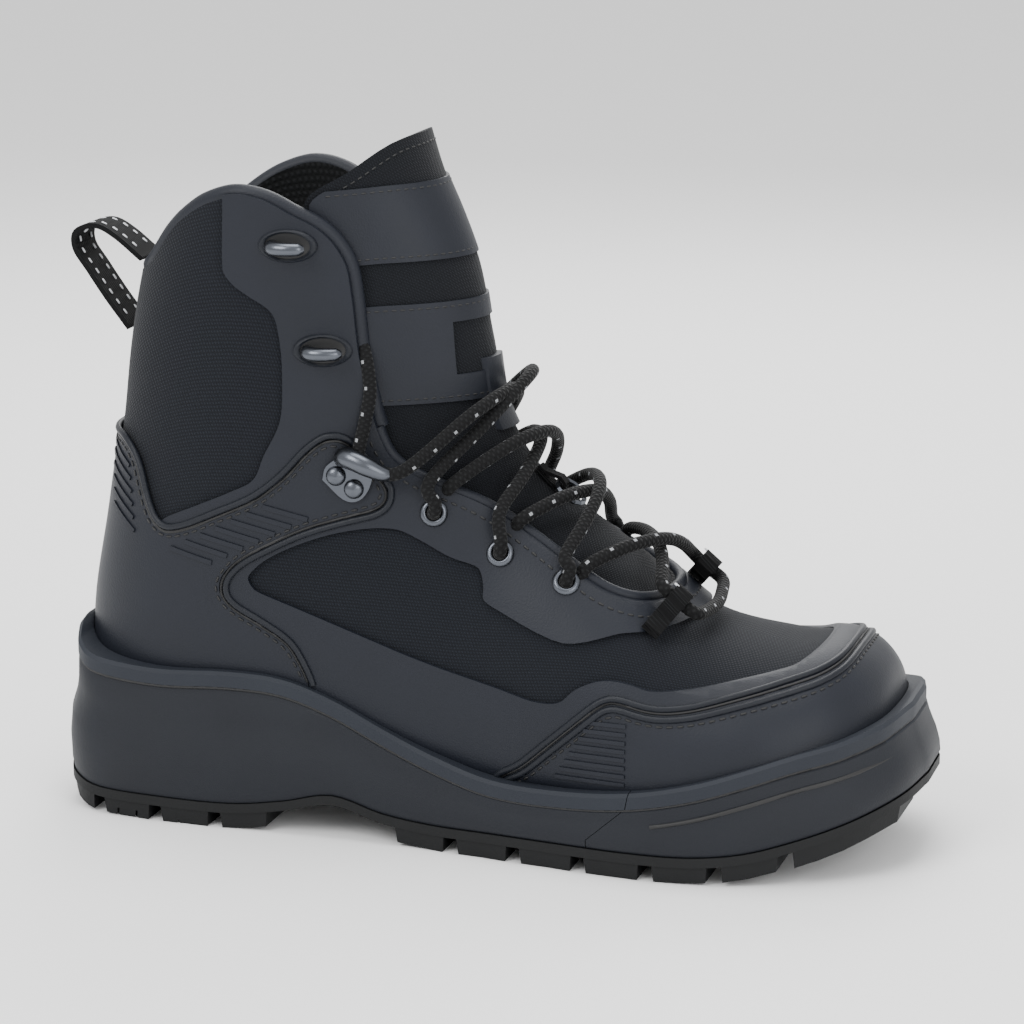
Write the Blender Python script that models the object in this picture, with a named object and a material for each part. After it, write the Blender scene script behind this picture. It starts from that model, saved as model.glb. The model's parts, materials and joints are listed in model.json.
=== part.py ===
"""Wading boot for the right foot: a lug sole with a rubber side wall, a hollow padded upper with overlays, a tongue,
laces, eyelets and hooks. Sizes are in millimetres, and MM turns them into Blender's metres.

In the tables x runs from the back of the sole to the toe, y is negative on the outer side of the foot,
and z is up from the floor. The model's origin is on the floor under the middle of the heel."""

import math

import bmesh
import bpy
import numpy as np
from mathutils import Matrix, Vector
from mathutils.bvhtree import BVHTree

MM = 0.001

# Overall sizes
LENGTH = 322.0
BALL_WIDTH = 105.0
HEEL_WIDTH = 80.0
SHAFT_WIDTH = 88.0
TOE_HEIGHT = 76.0
COLLAR_HEIGHT = 234.0
HEEL_REST = 50.0

# Upper
VAMP_WALL = 2.6
COLLAR_WALL = 6.0
OVERLAY_THICKNESS = 1.4
TONGUE_THICKNESS = 4.5
FEATHER_WIDTH = 10.0
GAP = 0.3

# Sections of the upper from the toe round the heel to the collar. Each lies in a plane across the foot, from a low
# or back point to a top or front point: x as a share of LENGTH, z of the named height, and y of the named width.
# The belly is how far up the widest place is, and the rounds are the powers of the curves below and above it.
SECTIONS = (
    # height of, width of, low x, low z, top x, top z, outer y, inner y, ridge y, belly, low round, top round
    (TOE_HEIGHT, BALL_WIDTH, 0.962, 0.50, 0.960, 0.66, 0.02, 0.21, 0.125, 0.50, 2.0, 2.0),
    (TOE_HEIGHT, BALL_WIDTH, 0.952, 0.34, 0.943, 0.87, -0.175, 0.36, 0.115, 0.42, 3.0, 2.4),
    (TOE_HEIGHT, BALL_WIDTH, 0.922, 0.27, 0.902, 0.985, -0.345, 0.455, 0.10, 0.34, 3.6, 2.6),
    (TOE_HEIGHT, BALL_WIDTH, 0.855, 0.235, 0.835, 0.99, -0.465, 0.495, 0.08, 0.31, 4.0, 2.5),
    (TOE_HEIGHT, BALL_WIDTH, 0.755, 0.217, 0.742, 1.09, -0.505, 0.49, 0.06, 0.29, 4.0, 2.2),
    (TOE_HEIGHT, BALL_WIDTH, 0.665, 0.217, 0.668, 1.37, -0.485, 0.455, 0.05, 0.28, 4.0, 2.1),
    (TOE_HEIGHT, BALL_WIDTH, 0.585, 0.22, 0.597, 1.60, -0.45, 0.41, 0.045, 0.28, 4.0, 2.0),
    (COLLAR_HEIGHT, HEEL_WIDTH, 0.481, 0.075, 0.547, 0.581, -0.535, 0.50, 0.045, 0.28, 4.0, 2.0),
    (COLLAR_HEIGHT, HEEL_WIDTH, 0.357, 0.098, 0.522, 0.641, -0.52, 0.50, 0.035, 0.29, 4.0, 2.05),
    (COLLAR_HEIGHT, HEEL_WIDTH, 0.217, 0.12, 0.512, 0.684, -0.51, 0.50, 0.025, 0.31, 3.6, 2.1),
    (COLLAR_HEIGHT, HEEL_WIDTH, 0.087, 0.135, 0.509, 0.718, -0.505, 0.495, 0.015, 0.34, 3.0, 2.1),
    (COLLAR_HEIGHT, HEEL_WIDTH, 0.030, 0.19, 0.506, 0.752, -0.505, 0.495, 0.01, 0.38, 2.5, 2.1),
    (COLLAR_HEIGHT, HEEL_WIDTH, 0.0235, 0.308, 0.50, 0.795, -0.505, 0.495, 0.005, 0.42, 2.2, 2.1),
    (COLLAR_HEIGHT, SHAFT_WIDTH, 0.041, 0.4615, 0.494, 0.846, -0.455, 0.455, 0.0, 0.45, 2.1, 2.1),
    (COLLAR_HEIGHT, SHAFT_WIDTH, 0.0585, 0.607, 0.4845, 0.906, -0.465, 0.465, 0.0, 0.46, 2.1, 2.1),
    (COLLAR_HEIGHT, SHAFT_WIDTH, 0.071, 0.735, 0.470, 0.974, -0.48, 0.48, 0.0, 0.46, 2.1, 2.1),
    (COLLAR_HEIGHT, SHAFT_WIDTH, 0.089, 0.855, 0.451, 1.043, -0.495, 0.495, 0.0, 0.46, 2.1, 2.1),
    (COLLAR_HEIGHT, SHAFT_WIDTH, 0.116, 0.99, 0.433, 1.12, -0.505, 0.505, 0.0, 0.46, 2.1, 2.1),
)
# Places along the table, in rows, where the form gets a section: closer round the toe and the heel
STATIONS = (0, 0.5, 1, 1.5, 2, 2.5, 3, 4, 5, 6, 7, 8, 9, 10, 10.5, 11, 11.5, 12, 13, 14, 15, 16, 17)
QUARTER = 5
PAD_START = 13
PAD_END = 16

# Outlines in side view: x as a share of LENGTH, z of COLLAR_HEIGHT. They are cut straight through both sides.
OPENING = ((-0.10, 0.80), (0.095, 0.855), (0.125, 0.879), (0.162, 0.939), (0.202, 0.981), (0.243, 1.000),
           (0.277, 0.993), (0.308, 0.971), (0.334, 0.952), (0.351, 0.930), (0.365, 0.895), (0.371, 0.842),
           (0.376, 0.765), (0.384, 0.704), (0.393, 0.649), (0.408, 0.601), (0.431, 0.576), (0.464, 0.557),
           (0.508, 0.532), (0.564, 0.486), (0.618, 0.439), (0.650, 0.413), (0.682, 0.396), (0.705, 0.388),
           (0.722, 0.388), (0.740, 0.42), (0.80, 1.40), (-0.10, 1.40))
SIDE_OVERLAY = ((0.232, 1.30), (0.231, 0.990), (0.229, 0.882), (0.240, 0.861), (0.257, 0.845), (0.284, 0.819),
                (0.292, 0.770), (0.293, 0.715), (0.289, 0.651), (0.270, 0.597), (0.257, 0.558), (0.230, 0.537),
                (0.193, 0.514), (0.147, 0.485), (0.135, 0.466), (0.300, 0.200), (0.300, 0.0), (1.10, 0.0),
                (1.10, 1.30))
WINDOW = ((0.249, 0.403), (0.266, 0.429), (0.298, 0.454), (0.344, 0.478), (0.390, 0.491), (0.421, 0.491),
          (0.447, 0.477), (0.481, 0.454), (0.513, 0.439), (0.520, 0.415), (0.522, 0.393), (0.542, 0.378),
          (0.617, 0.341), (0.677, 0.357), (0.710, 0.357), (0.737, 0.360), (0.747, 0.365), (0.75, 0.50),
          (0.93, 0.50), (0.891, 0.335), (0.874, 0.318), (0.858, 0.307), (0.809, 0.295), (0.759, 0.283),
          (0.718, 0.281), (0.696, 0.289), (0.676, 0.293), (0.657, 0.290), (0.635, 0.276), (0.619, 0.256),
          (0.605, 0.251), (0.584, 0.252), (0.547, 0.263), (0.487, 0.281), (0.429, 0.304), (0.311, 0.358),
          (0.257, 0.384))
COUNTER = ((-0.10, 0.60), (0.077, 0.591), (0.101, 0.565), (0.115, 0.514), (0.129, 0.478), (0.147, 0.463),
           (0.174, 0.471), (0.211, 0.494), (0.262, 0.527), (0.300, 0.570), (0.325, 0.612), (0.344, 0.625),
           (0.360, 0.621), (0.374, 0.602), (0.389, 0.575), (0.405, 0.552), (0.409, 0.535), (0.400, 0.522),
           (0.355, 0.504), (0.310, 0.483), (0.264, 0.451), (0.234, 0.427), (0.217, 0.400), (0.215, 0.377),
           (0.229, 0.353), (0.263, 0.328), (0.296, 0.301), (0.310, 0.271), (0.320, 0.242), (0.325, 0.0),
           (-0.10, 0.0))
TOE_CAP = ((0.520, 0.0), (0.546, 0.121), (0.572, 0.144), (0.608, 0.188), (0.649, 0.238), (0.665, 0.256),
           (0.678, 0.263), (0.693, 0.260), (0.710, 0.254), (0.732, 0.251), (0.763, 0.255), (0.815, 0.273),
           (0.863, 0.290), (0.891, 0.301), (0.911, 0.314), (0.918, 0.33), (0.94, 0.50), (1.10, 0.50),
           (1.10, 0.0))
TONGUE = ((0.315, 0.985), (0.330, 0.900), (0.342, 0.800), (0.352, 0.700), (0.365, 0.620), (0.390, 0.560),
          (0.440, 0.510), (0.500, 0.470), (0.560, 0.425), (0.620, 0.380), (0.680, 0.345), (0.745, 0.325),
          (0.760, 0.50), (0.52, 1.00), (0.455, 1.082), (0.408, 1.076), (0.360, 1.030))

# The sole from above and its heights: x as a share of LENGTH, y of SOLE_WIDTH. The lift is how far the tread is off
# the floor, as a share of TOE_SPRING, and the wall is the height of the welt's top, as a share of WALL_HEIGHT.
SOLE_WIDTH = 118.0
TOE_SPRING = 20.0
WALL_HEIGHT = 60.0
SOLE = (
    # x, outer y, inner y, lift, wall
    (0.000, -0.110, 0.110, 0.30, 1.14),
    (0.007, -0.205, 0.205, 0.24, 1.12),
    (0.025, -0.300, 0.295, 0.15, 1.06),
    (0.062, -0.362, 0.358, 0.03, 1.00),
    (0.140, -0.390, 0.385, 0.00, 0.97),
    (0.225, -0.394, 0.386, 0.00, 0.99),
    (0.290, -0.394, 0.380, 0.14, 0.97),
    (0.350, -0.396, 0.374, 0.34, 0.87),
    (0.410, -0.402, 0.370, 0.10, 0.72),
    (0.470, -0.416, 0.373, 0.00, 0.59),
    (0.540, -0.443, 0.390, 0.00, 0.49),
    (0.620, -0.474, 0.428, 0.00, 0.48),
    (0.700, -0.500, 0.470, 0.00, 0.52),
    (0.770, -0.500, 0.494, 0.02, 0.60),
    (0.830, -0.474, 0.498, 0.13, 0.70),
    (0.885, -0.415, 0.478, 0.35, 0.79),
    (0.932, -0.350, 0.445, 0.60, 0.85),
    (0.966, -0.255, 0.385, 0.80, 0.89),
    (0.988, -0.145, 0.310, 0.94, 0.92),
    (1.000, 0.010, 0.200, 1.02, 0.93),
)
SOLE_PLACES = (0, 0.5, 1, 1.5, 2, 2.5, 3, 4, 5, 6, 7, 8, 9, 10, 11, 12, 13, 13.5, 14, 14.5, 15, 15.5, 16, 16.5, 17, 17.5,
               18, 18.5, 19)

# Levels of the side wall, from the tread up to the welt: how far up from the tread to the welt's groove, and how far
# out. The welt's own levels stand above the groove.
WALL_LEVELS = (
    # share up, outward at the heel, outward at the front
    (0.00, -0.6, -0.6),
    (0.16, 0.6, 0.4),
    (0.52, 0.5, 0.3),
    (0.66, -1.3, -0.5),
    (0.96, -1.6, -1.0),
)
WELT_HEIGHT = 6.5
WELT_OUT = 0.6
WELT_ROUND = 1.4
BACK_LEAN = 4.0
TOE_LEAN = 5.5
CUP_CLEARANCE = GAP + OVERLAY_THICKNESS + GAP
BUMPER_SEAM = ((0.655, -0.1), (0.655, 0.055), (0.700, 0.110), (0.712, 0.200), (0.712, 0.50))

# Tread
LUG_HEIGHT = 6.0
TREAD_THICKNESS = 3.5
LUG_TAPER = 1.2
# Edge lugs: from x to x as shares of LENGTH, and how far in they reach as a share of the sole's half width
EDGE_LUGS = (
    (0.014, 0.055, 0.93), (0.068, 0.128, 0.42), (0.141, 0.201, 0.45), (0.214, 0.272, 0.45),
    (0.425, 0.485, 0.52), (0.499, 0.561, 0.52), (0.575, 0.638, 0.52), (0.652, 0.716, 0.52), (0.730, 0.792, 0.52),
    (0.806, 0.866, 0.50), (0.880, 0.982, 0.93),
)
# Middle lugs: x of the centre, y of the centre as a share of SOLE_WIDTH
MIDDLE_LUGS = (
    (0.1553, 0.0), (0.455, -0.03), (0.506, 0.105), (0.540, -0.11), (0.592, 0.07), (0.626, -0.125),
    (0.678, 0.075), (0.712, -0.12), (0.764, 0.085), (0.800, -0.10), (0.846, 0.085),
)
MIDDLE_LUG_LENGTH = 22.0
MIDDLE_LUG_WIDTH = 23.0

# Lacing
LACE_RADIUS = 2.4
EYELETS = ((0.611, 0.424), (0.535, 0.461), (0.460, 0.518))
EYELET_RADIUS = 5.0
EYELET_HOLE = 2.5
EYELET_HEIGHT = 1.3
# How far metal stands off the overlay's facets
SEAT = 0.9
LOCK_HOOK = (0.368, 0.575)
SPEED_HOOKS = ((0.339, 0.764), (0.304, 0.924))
HOOK_PLATE = 1.3
KEEPER = (0.702, 0.185)
# The keeper's two ends along the lace, how far out its leg reaches, and the strip's thickness
KEEPER_SPAN = (1.5, 7.5)
KEEPER_LEG = (13.0, 9.5, 6.0)
WEBBING = 1.3
RING_PLACE = 0.581
RING_RADIUS = 5.8
RING_WIRE = 1.0
RING_TAB = 9.0
RING_TAB_WIDTH = 5.0
LOOSE = 1.3
INSOLE_THICKNESS = 4.0
LOOP_WIDTH = 18.0
LOOP_THICKNESS = 1.8


# ---- Curves and forms ----

def spline(rows, places):
    """Points of a smooth curve through the rows, at places counted in rows."""
    rows = np.asarray(rows, float)
    ends = np.vstack([2 * rows[0] - rows[1], rows, 2 * rows[-1] - rows[-2]])
    points = []
    for place in places:
        i = min(int(place), len(rows) - 2)
        before, start, end, after = ends[i:i + 4]
        t = place - i
        points.append(0.5 * (2 * start + (end - before) * t
                             + (2 * before - 5 * start + 4 * end - after) * t ** 2
                             + (3 * start - before - 3 * end + after) * t ** 3))
    return np.array(points)


def section_rows():
    """The sections' table with its shares turned into sizes."""
    rows = []
    for height, width, low_x, low_z, top_x, top_z, outer, inner, ridge, *shape in SECTIONS:
        rows.append([low_x * LENGTH, low_z * height, top_x * LENGTH, top_z * height,
                     outer * width, inner * width, ridge * width, *shape])
    return rows


def section_ring(row, quarter):
    """One closed section as points, from the low point by the outer side and the top to the inner side."""
    low_x, low_z, top_x, top_z, outer, inner, ridge, belly, low_round, top_round = row
    middle = (outer + inner) / 2
    height = math.hypot(top_x - low_x, top_z - low_z)
    turn = np.linspace(0, math.pi / 2, 61)
    wave, rise = np.sin(turn), 1 - np.cos(turn)
    low_across = np.sin(turn) ** (2 / low_round)
    low_up = 1 - np.cos(turn) ** (2 / low_round)
    top_across = np.cos(turn) ** (2 / top_round)
    top_up = np.sin(turn) ** (2 / top_round)
    quarters = [
        (middle + (outer - middle) * low_across, belly * low_up),
        (ridge + (outer - ridge) * top_across, belly + (1 - belly) * top_up),
        (ridge + (inner - ridge) * top_across[::-1], belly + (1 - belly) * top_up[::-1]),
        (middle + (inner - middle) * low_across[::-1], belly * low_up[::-1]),
    ]
    points = []
    for across, up in quarters:
        run = np.concatenate([[0], np.cumsum(np.hypot(np.diff(across), np.diff(up * height)))])
        places = np.arange(quarter) / quarter * run[-1]
        side, share = np.interp(places, run, across), np.interp(places, run, up)
        points += [(low_x + (top_x - low_x) * s, y, low_z + (top_z - low_z) * s) for y, s in zip(side, share)]
    return points


def form_rings(offset, quarter=QUARTER, places=STATIONS):
    """Rings of the foot's form, moved outward by offset, which is a number or a function of the section's place."""
    rings = np.array([section_ring(row, quarter) for row in spline(section_rows(), places)])
    along = np.gradient(rings, axis=0)
    round_ring = np.roll(rings, -1, axis=1) - np.roll(rings, 1, axis=1)
    normals = np.cross(round_ring, along)
    normals /= np.linalg.norm(normals, axis=2, keepdims=True)
    amount = np.array([offset(p) if callable(offset) else offset for p in places])
    return rings + normals * amount[:, None, None]


def side_view(outline):
    """An outline's shares turned into lengths, as (x, z) points."""
    return [(x * LENGTH, z * COLLAR_HEIGHT) for x, z in outline]


def grown(outline, distance):
    """The outline with each point moved outward, so that its neighbour keeps a gap."""
    points = [Vector(point) for point in outline]
    area = sum(a.x * b.y - b.x * a.y for a, b in zip(points, points[1:] + points[:1]))
    turn = 1 if area > 0 else -1
    moved = []
    for before, here, after in zip(points[-1:] + points[:-1], points, points[1:] + points[:1]):
        first, second = (here - before).normalized(), (after - here).normalized()
        out = Vector((first.y + second.y, -first.x - second.x)).normalized() * turn
        share = max(0.4, out.dot(Vector((first.y, -first.x)) * turn))
        moved.append(tuple(here + out * distance / share))
    return moved


def wall_at(place):
    """The upper's wall: thin on the foot, padded round the ankle and collar."""
    share = min(1.0, max(0.0, (place - PAD_START) / (PAD_END - PAD_START)))
    return VAMP_WALL + (COLLAR_WALL - VAMP_WALL) * share * share * (3 - 2 * share)


# ---- Blender ----

def add_mesh(name, points, faces):
    """A mesh object from points and faces, its faces turned outward."""
    mesh = bpy.data.meshes.new(name)
    mesh.from_pydata([tuple(p) for p in points], [], faces)
    mesh.validate()
    made = bpy.data.objects.new(name, mesh)
    bpy.context.scene.collection.objects.link(made)
    bpy.context.view_layer.update()
    turn_outward(made)
    return made


def turn_outward(made):
    """Turns a closed mesh inside out where its volume is negative."""
    volume = 0.0
    mesh = made.data
    for face in mesh.polygons:
        corners = [mesh.vertices[i].co for i in face.vertices]
        for second, third in zip(corners[1:], corners[2:]):
            volume += corners[0].dot(second.cross(third))
    if volume < 0:
        mesh.flip_normals()


def add_loft(name, rings):
    """A closed solid through rings that all have the same number of points. Its triangles fall alike at each offset,
    so that nested forms keep their gap."""
    around = len(rings[0])
    points = [p for ring in rings for p in ring]
    faces = []
    for i in range(len(rings) - 1):
        for j in range(around):
            k = (j + 1) % around
            near, far = (i * around + j, i * around + k), ((i + 1) * around + j, (i + 1) * around + k)
            faces += [(near[0], near[1], far[1]), (near[0], far[1], far[0])]
    for start in (0, (len(rings) - 1) * around):
        centre = len(points)
        points.append(sum((Vector(p) for p in points[start:start + around]), Vector()) / around)
        faces += [(start + j, start + (j + 1) % around, centre) for j in range(around)]
    return consistent(add_mesh(name, points, faces))


def consistent(made):
    """Gives all faces the same turn, then outward."""
    bpy.ops.object.select_all(action="DESELECT")
    made.select_set(True)
    bpy.context.view_layer.objects.active = made
    bpy.ops.object.mode_set(mode="EDIT")
    bpy.ops.mesh.select_all(action="SELECT")
    bpy.ops.mesh.normals_make_consistent(inside=False)
    bpy.ops.object.mode_set(mode="OBJECT")
    turn_outward(made)
    return made


def add_form(name, offset, rise=0.0):
    """The foot's form as a solid. Rise lengthens it past the collar, to cut clear through another."""
    rings = form_rings(offset)
    last = rings[-1] + (rings[-1] - rings[-2]) / np.linalg.norm(rings[-1] - rings[-2], axis=1, keepdims=True) * rise
    rings = list(rings[:-1]) + [last]
    return add_loft(name, rings)


def add_prism(name, outline, low=-150.0, high=150.0):
    """An outline in side view, extruded across the foot."""
    count = len(outline)
    points = [(x, low, z) for x, z in outline] + [(x, high, z) for x, z in outline]
    faces = [tuple(range(count)), tuple(range(2 * count - 1, count - 1, -1))]
    faces += [(i, (i + 1) % count, (i + 1) % count + count, i + count) for i in range(count)]
    return consistent(add_mesh(name, points, faces))


def add_slab(name, outline, low, high):
    """An outline in plan view, from one height to another."""
    count = len(outline)
    points = [(x, y, low) for x, y in outline] + [(x, y, high) for x, y in outline]
    faces = [tuple(range(count)), tuple(range(2 * count - 1, count - 1, -1))]
    faces += [(i, (i + 1) % count, (i + 1) % count + count, i + count) for i in range(count)]
    return consistent(add_mesh(name, points, faces))


def combine(body, tools, operation):
    """Applies one boolean for each tool and removes the tool."""
    for tool in tools:
        change = body.modifiers.new("cut", "BOOLEAN")
        change.operation = operation
        change.solver = "EXACT"
        change.object = tool
        bpy.context.view_layer.objects.active = body
        bpy.ops.object.modifier_apply(modifier=change.name)
        remove(tool)
    return body


def remove(made):
    mesh = made.data
    bpy.data.objects.remove(made)
    bpy.data.meshes.remove(mesh)


def add_band(name, inner, outer, areas):
    """A shell between two forms, kept only inside the given side views: (outline, operation) pairs."""
    shell = add_form(name, outer)
    for outline, operation in areas:
        combine(shell, [add_prism("cutter", outline)], operation)
    combine(shell, [add_form("cutter", inner, rise=12.0)], "DIFFERENCE")
    return shell


def surface_tree(offset):
    """The form's surface at an offset, with finer facets, to find places on it."""
    made = add_loft("surface", form_rings(offset, quarter=10, places=np.arange(52) / 3))
    tree = BVHTree.FromPolygons([v.co.copy() for v in made.data.vertices],
                                [tuple(face.vertices) for face in made.data.polygons])
    remove(made)
    return tree


def place_on(tree, x, z, side, lift=0.0):
    """A frame on the form's side: origin on the surface, X forward along it, Z outward. Side is -1 outer, 1 inner."""
    point, normal, _, _ = tree.ray_cast(Vector((x, side * 200, z)), Vector((0, -side, 0)))
    forward = Vector((1, 0, 0))
    forward = (forward - normal * forward.dot(normal)).normalized()
    across = normal.cross(forward)
    frame = Matrix((forward, across, normal)).transposed().to_4x4()
    frame.translation = point + normal * lift
    return frame


def top_at(tree, x, y, lift=0.0):
    """The point over x, y on the form's top."""
    point, normal, _, _ = tree.ray_cast(Vector((x, y, 400)), Vector((0, 0, -1)))
    return point + normal * lift


def add_tube(name, path, radius, sides=6, radii=None, turn=0.0):
    """A tube along a list of points, with flat ends. Turn, in radians, turns its sides about the path."""
    path = [Vector(p) for p in path]
    rings = []
    up = Vector((0, 0, 1))
    for i, here in enumerate(path):
        along = (path[min(i + 1, len(path) - 1)] - path[max(i - 1, 0)]).normalized()
        if abs(along.dot(up)) > 0.95:
            up = Vector((0, 1, 0))
        side = along.cross(up).normalized()
        up = side.cross(along).normalized()
        size = radii[i] if radii else radius
        rings.append([here + (side * math.cos(a) + up * math.sin(a)) * size
                      for a in (turn + 2 * math.pi * k / sides for k in range(sides))])
    return add_loft(name, rings)


def smooth_path(points, steps):
    """The points with more between them, on a smooth curve."""
    return [tuple(p) for p in spline(points, np.arange((len(points) - 1) * steps + 1) / steps)]


def add_lathe(name, profile, segments, frame):
    """A closed ring: the (radius, height) profile turned about the frame's Z."""
    count = len(profile)
    points, faces = [], []
    for i in range(segments):
        angle = 2 * math.pi * i / segments
        for radius, height in profile:
            points.append(frame @ Vector((radius * math.cos(angle), radius * math.sin(angle), height)))
        for j in range(count):
            a, b = i * count + j, i * count + (j + 1) % count
            c, d = ((i + 1) % segments) * count + (j + 1) % count, ((i + 1) % segments) * count + j
            faces.append((a, b, c, d))
    return consistent(add_mesh(name, points, faces))


def add_plate(name, outline, low, high, frame):
    """A flat outline in the frame's XY plane, from low to high along its Z."""
    made = add_slab(name, outline, low, high)
    made.data.transform(frame)
    return consistent(made)


def ribbon(path, thickness):
    """The closed outline of a strip that follows a path, in the path's plane."""
    points = [Vector(p) for p in path]
    left, right = [], []
    for i, here in enumerate(points):
        along = (points[min(i + 1, len(points) - 1)] - points[max(i - 1, 0)]).normalized()
        out = Vector((-along.y, along.x)) * thickness / 2
        left.append(tuple(here + out))
        right.append(tuple(here - out))
    return left + right[::-1]


# ---- The pieces ----

def sole_rows():
    rows = []
    for x, outer, inner, lift, wall in SOLE:
        rows.append([x * LENGTH, outer * SOLE_WIDTH, inner * SOLE_WIDTH, lift * TOE_SPRING, wall * WALL_HEIGHT])
    return spline(rows, SOLE_PLACES)


def sole_ring(rows, outward, height):
    """One ring round the sole. Outward and height are functions of the row, and outward also of the edge's normal."""
    pairs = [(row[0], row[1], row) for row in rows] + [(row[0], row[2], row) for row in rows[::-1]]
    ring = []
    for i, (x, y, row) in enumerate(pairs):
        before, after = pairs[i - 1], pairs[(i + 1) % len(pairs)]
        along = Vector((after[0] - before[0], after[1] - before[1])).normalized()
        out = Vector((along.y, -along.x))
        shift = outward(row, out)
        ring.append((x + out.x * shift, y + out.y * shift, height(row)))
    return ring


def add_sole_block(name, rings):
    """A solid from rings round the sole. Its top and bottom are strips between the two sides."""
    around = len(rings[0])
    half = around // 2
    points = [p for ring in rings for p in ring]
    faces = []
    for i in range(len(rings) - 1):
        for j in range(around):
            k = (j + 1) % around
            faces.append((i * around + j, i * around + k, (i + 1) * around + k, (i + 1) * around + j))
    for start in (0, (len(rings) - 1) * around):
        for j in range(half - 1):
            faces.append((start + j, start + j + 1, start + around - 2 - j, start + around - 1 - j))
    return consistent(add_mesh(name, points, faces))


def lean(out):
    """How far the wall's top stands in at the back and the toe."""
    return BACK_LEAN * out.x ** 2 if out.x < 0 else TOE_LEAN * out.x ** 2


def tread_top(row):
    return row[3] + LUG_HEIGHT + TREAD_THICKNESS


def make_side_wall():
    """The cup that holds the upper: its side wall with a step at the heel, and the welt along its top."""
    rows = sole_rows()
    rings = []
    for share, at_heel, at_front in WALL_LEVELS:
        def outward(row, out, share=share, at_heel=at_heel, at_front=at_front):
            front = min(1.0, max(0.0, (row[0] / LENGTH - 0.30) / 0.15))
            return at_heel + (at_front - at_heel) * front - lean(out) * share ** 1.5

        def height(row, share=share):
            low = tread_top(row) + GAP
            return low + (row[4] - WELT_HEIGHT - low) * share
        rings.append(sole_ring(rows, outward, height))
    rings.append(sole_ring(rows, lambda row, out: WELT_OUT - lean(out), lambda row: row[4] - WELT_HEIGHT))
    rings.append(sole_ring(rows, lambda row, out: WELT_OUT - lean(out), lambda row: row[4] - WELT_ROUND))
    rings.append(sole_ring(rows, lambda row, out: WELT_OUT - WELT_ROUND - lean(out), lambda row: row[4]))
    block = add_sole_block("midsole", rings)
    combine(block, [add_form("cutter", CUP_CLEARANCE)], "DIFFERENCE")
    bumper = block.copy()
    bumper.data = block.data.copy()
    bumper.name = "toe_bumper"
    bpy.context.scene.collection.objects.link(bumper)
    seam = side_view(BUMPER_SEAM)
    front = seam + [(LENGTH * 1.2, seam[-1][1]), (LENGTH * 1.2, seam[0][1])]
    combine(block, [add_prism("cutter", front)], "DIFFERENCE")
    shifted = [(x + GAP, z) for x, z in seam] + front[-2:]
    combine(bumper, [add_prism("cutter", shifted)], "INTERSECT")
    return block, bumper


def lift_at(x):
    rows = sole_rows()
    return float(np.interp(x, rows[:, 0], rows[:, 3]))


def edge_at(x, side):
    rows = sole_rows()
    return float(np.interp(x, rows[:, 0], rows[:, 1] if side < 0 else rows[:, 2]))


def add_lug(outline, root):
    """One lug: its foot on the tread's curve, tapered, and its root inside the tread."""
    centre = sum((Vector(p) for p in outline), Vector((0, 0))) / len(outline)
    count = len(outline)
    points = []
    for x, y in outline:
        inward = (centre - Vector((x, y))).normalized() * LUG_TAPER
        points.append((x + inward.x, y + inward.y, lift_at(x)))
    for x, y in outline:
        points.append((x, y, lift_at(x) + root))
    faces = [tuple(range(count)), tuple(range(2 * count - 1, count - 1, -1))]
    faces += [(i, (i + 1) % count, (i + 1) % count + count, i + count) for i in range(count)]
    return consistent(add_mesh("lug", points, faces))


def make_outsole():
    """The tread: a thin base that follows the sole's outline, with lugs under it."""
    rows = sole_rows()
    tread = add_sole_block("outsole", [
        sole_ring(rows, lambda row, out: 0.0, lambda row: row[3] + LUG_HEIGHT),
        sole_ring(rows, lambda row, out: 0.0, tread_top),
    ])
    root = LUG_HEIGHT + TREAD_THICKNESS / 2
    lugs = []
    for start, end, reach in EDGE_LUGS:
        for side in (-1, 1):
            xs = np.linspace(start, end, 5 if reach > 0.9 else 3) * LENGTH
            edge = [(x, edge_at(x, side) - side * 0.4) for x in xs]
            middles = [(edge_at(x, -1) + edge_at(x, 1)) / 2 for x in xs]
            inner = [(x, middle + (y - middle) * (1 - reach)) for (x, y), middle in zip(edge, middles)]
            lugs.append(add_lug(edge + [inner[-1], inner[0]], root))
    for x, y in MIDDLE_LUGS:
        cx, cy = x * LENGTH, y * SOLE_WIDTH
        along, across = MIDDLE_LUG_LENGTH / 2, MIDDLE_LUG_WIDTH / 2
        outline = [(cx - along, cy - across * 0.45), (cx - along * 0.45, cy - across), (cx + along * 0.55, cy - across),
                   (cx + along, cy + across * 0.45), (cx + along * 0.45, cy + across), (cx - along * 0.55, cy + across)]
        lugs.append(add_lug(outline, root))
    return combine(tread, lugs, "UNION")


def add_feather_opening():
    """A tool that opens the upper underneath, inside a lip as wide as the feather."""
    rings = []
    for row in spline(section_rows(), STATIONS):
        low_x, low_z, top_x, top_z, outer, inner = row[:6]
        if low_z > 0.17 * COLLAR_HEIGHT or top_x < low_x:
            continue
        if not 0.06 * LENGTH < low_x < 0.94 * LENGTH:
            continue
        low, high = low_z - 12.0, low_z + VAMP_WALL + 2.5
        left, right = outer + FEATHER_WIDTH, inner - FEATHER_WIDTH
        rings.append([(low_x, left, low), (low_x, right, low), (low_x, right, high), (low_x, left, high)])
    return add_loft("feather", rings)


def make_upper():
    upper = add_form("upper", 0.0)
    combine(upper, [add_prism("cutter", side_view(OPENING))], "DIFFERENCE")
    combine(upper, [add_form("cutter", lambda place: -wall_at(place), rise=12.0)], "DIFFERENCE")
    return combine(upper, [add_feather_opening()], "DIFFERENCE")


def below_welt(depth):
    """Side view of all that lies more than this depth under the welt's top."""
    line = [(row[0], row[4] - depth) for row in sole_rows()[::2]]
    return [(-40.0, line[0][1])] + line + [(LENGTH + 40.0, line[-1][1]), (LENGTH + 40.0, -20.0), (-40.0, -20.0)]


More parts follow.
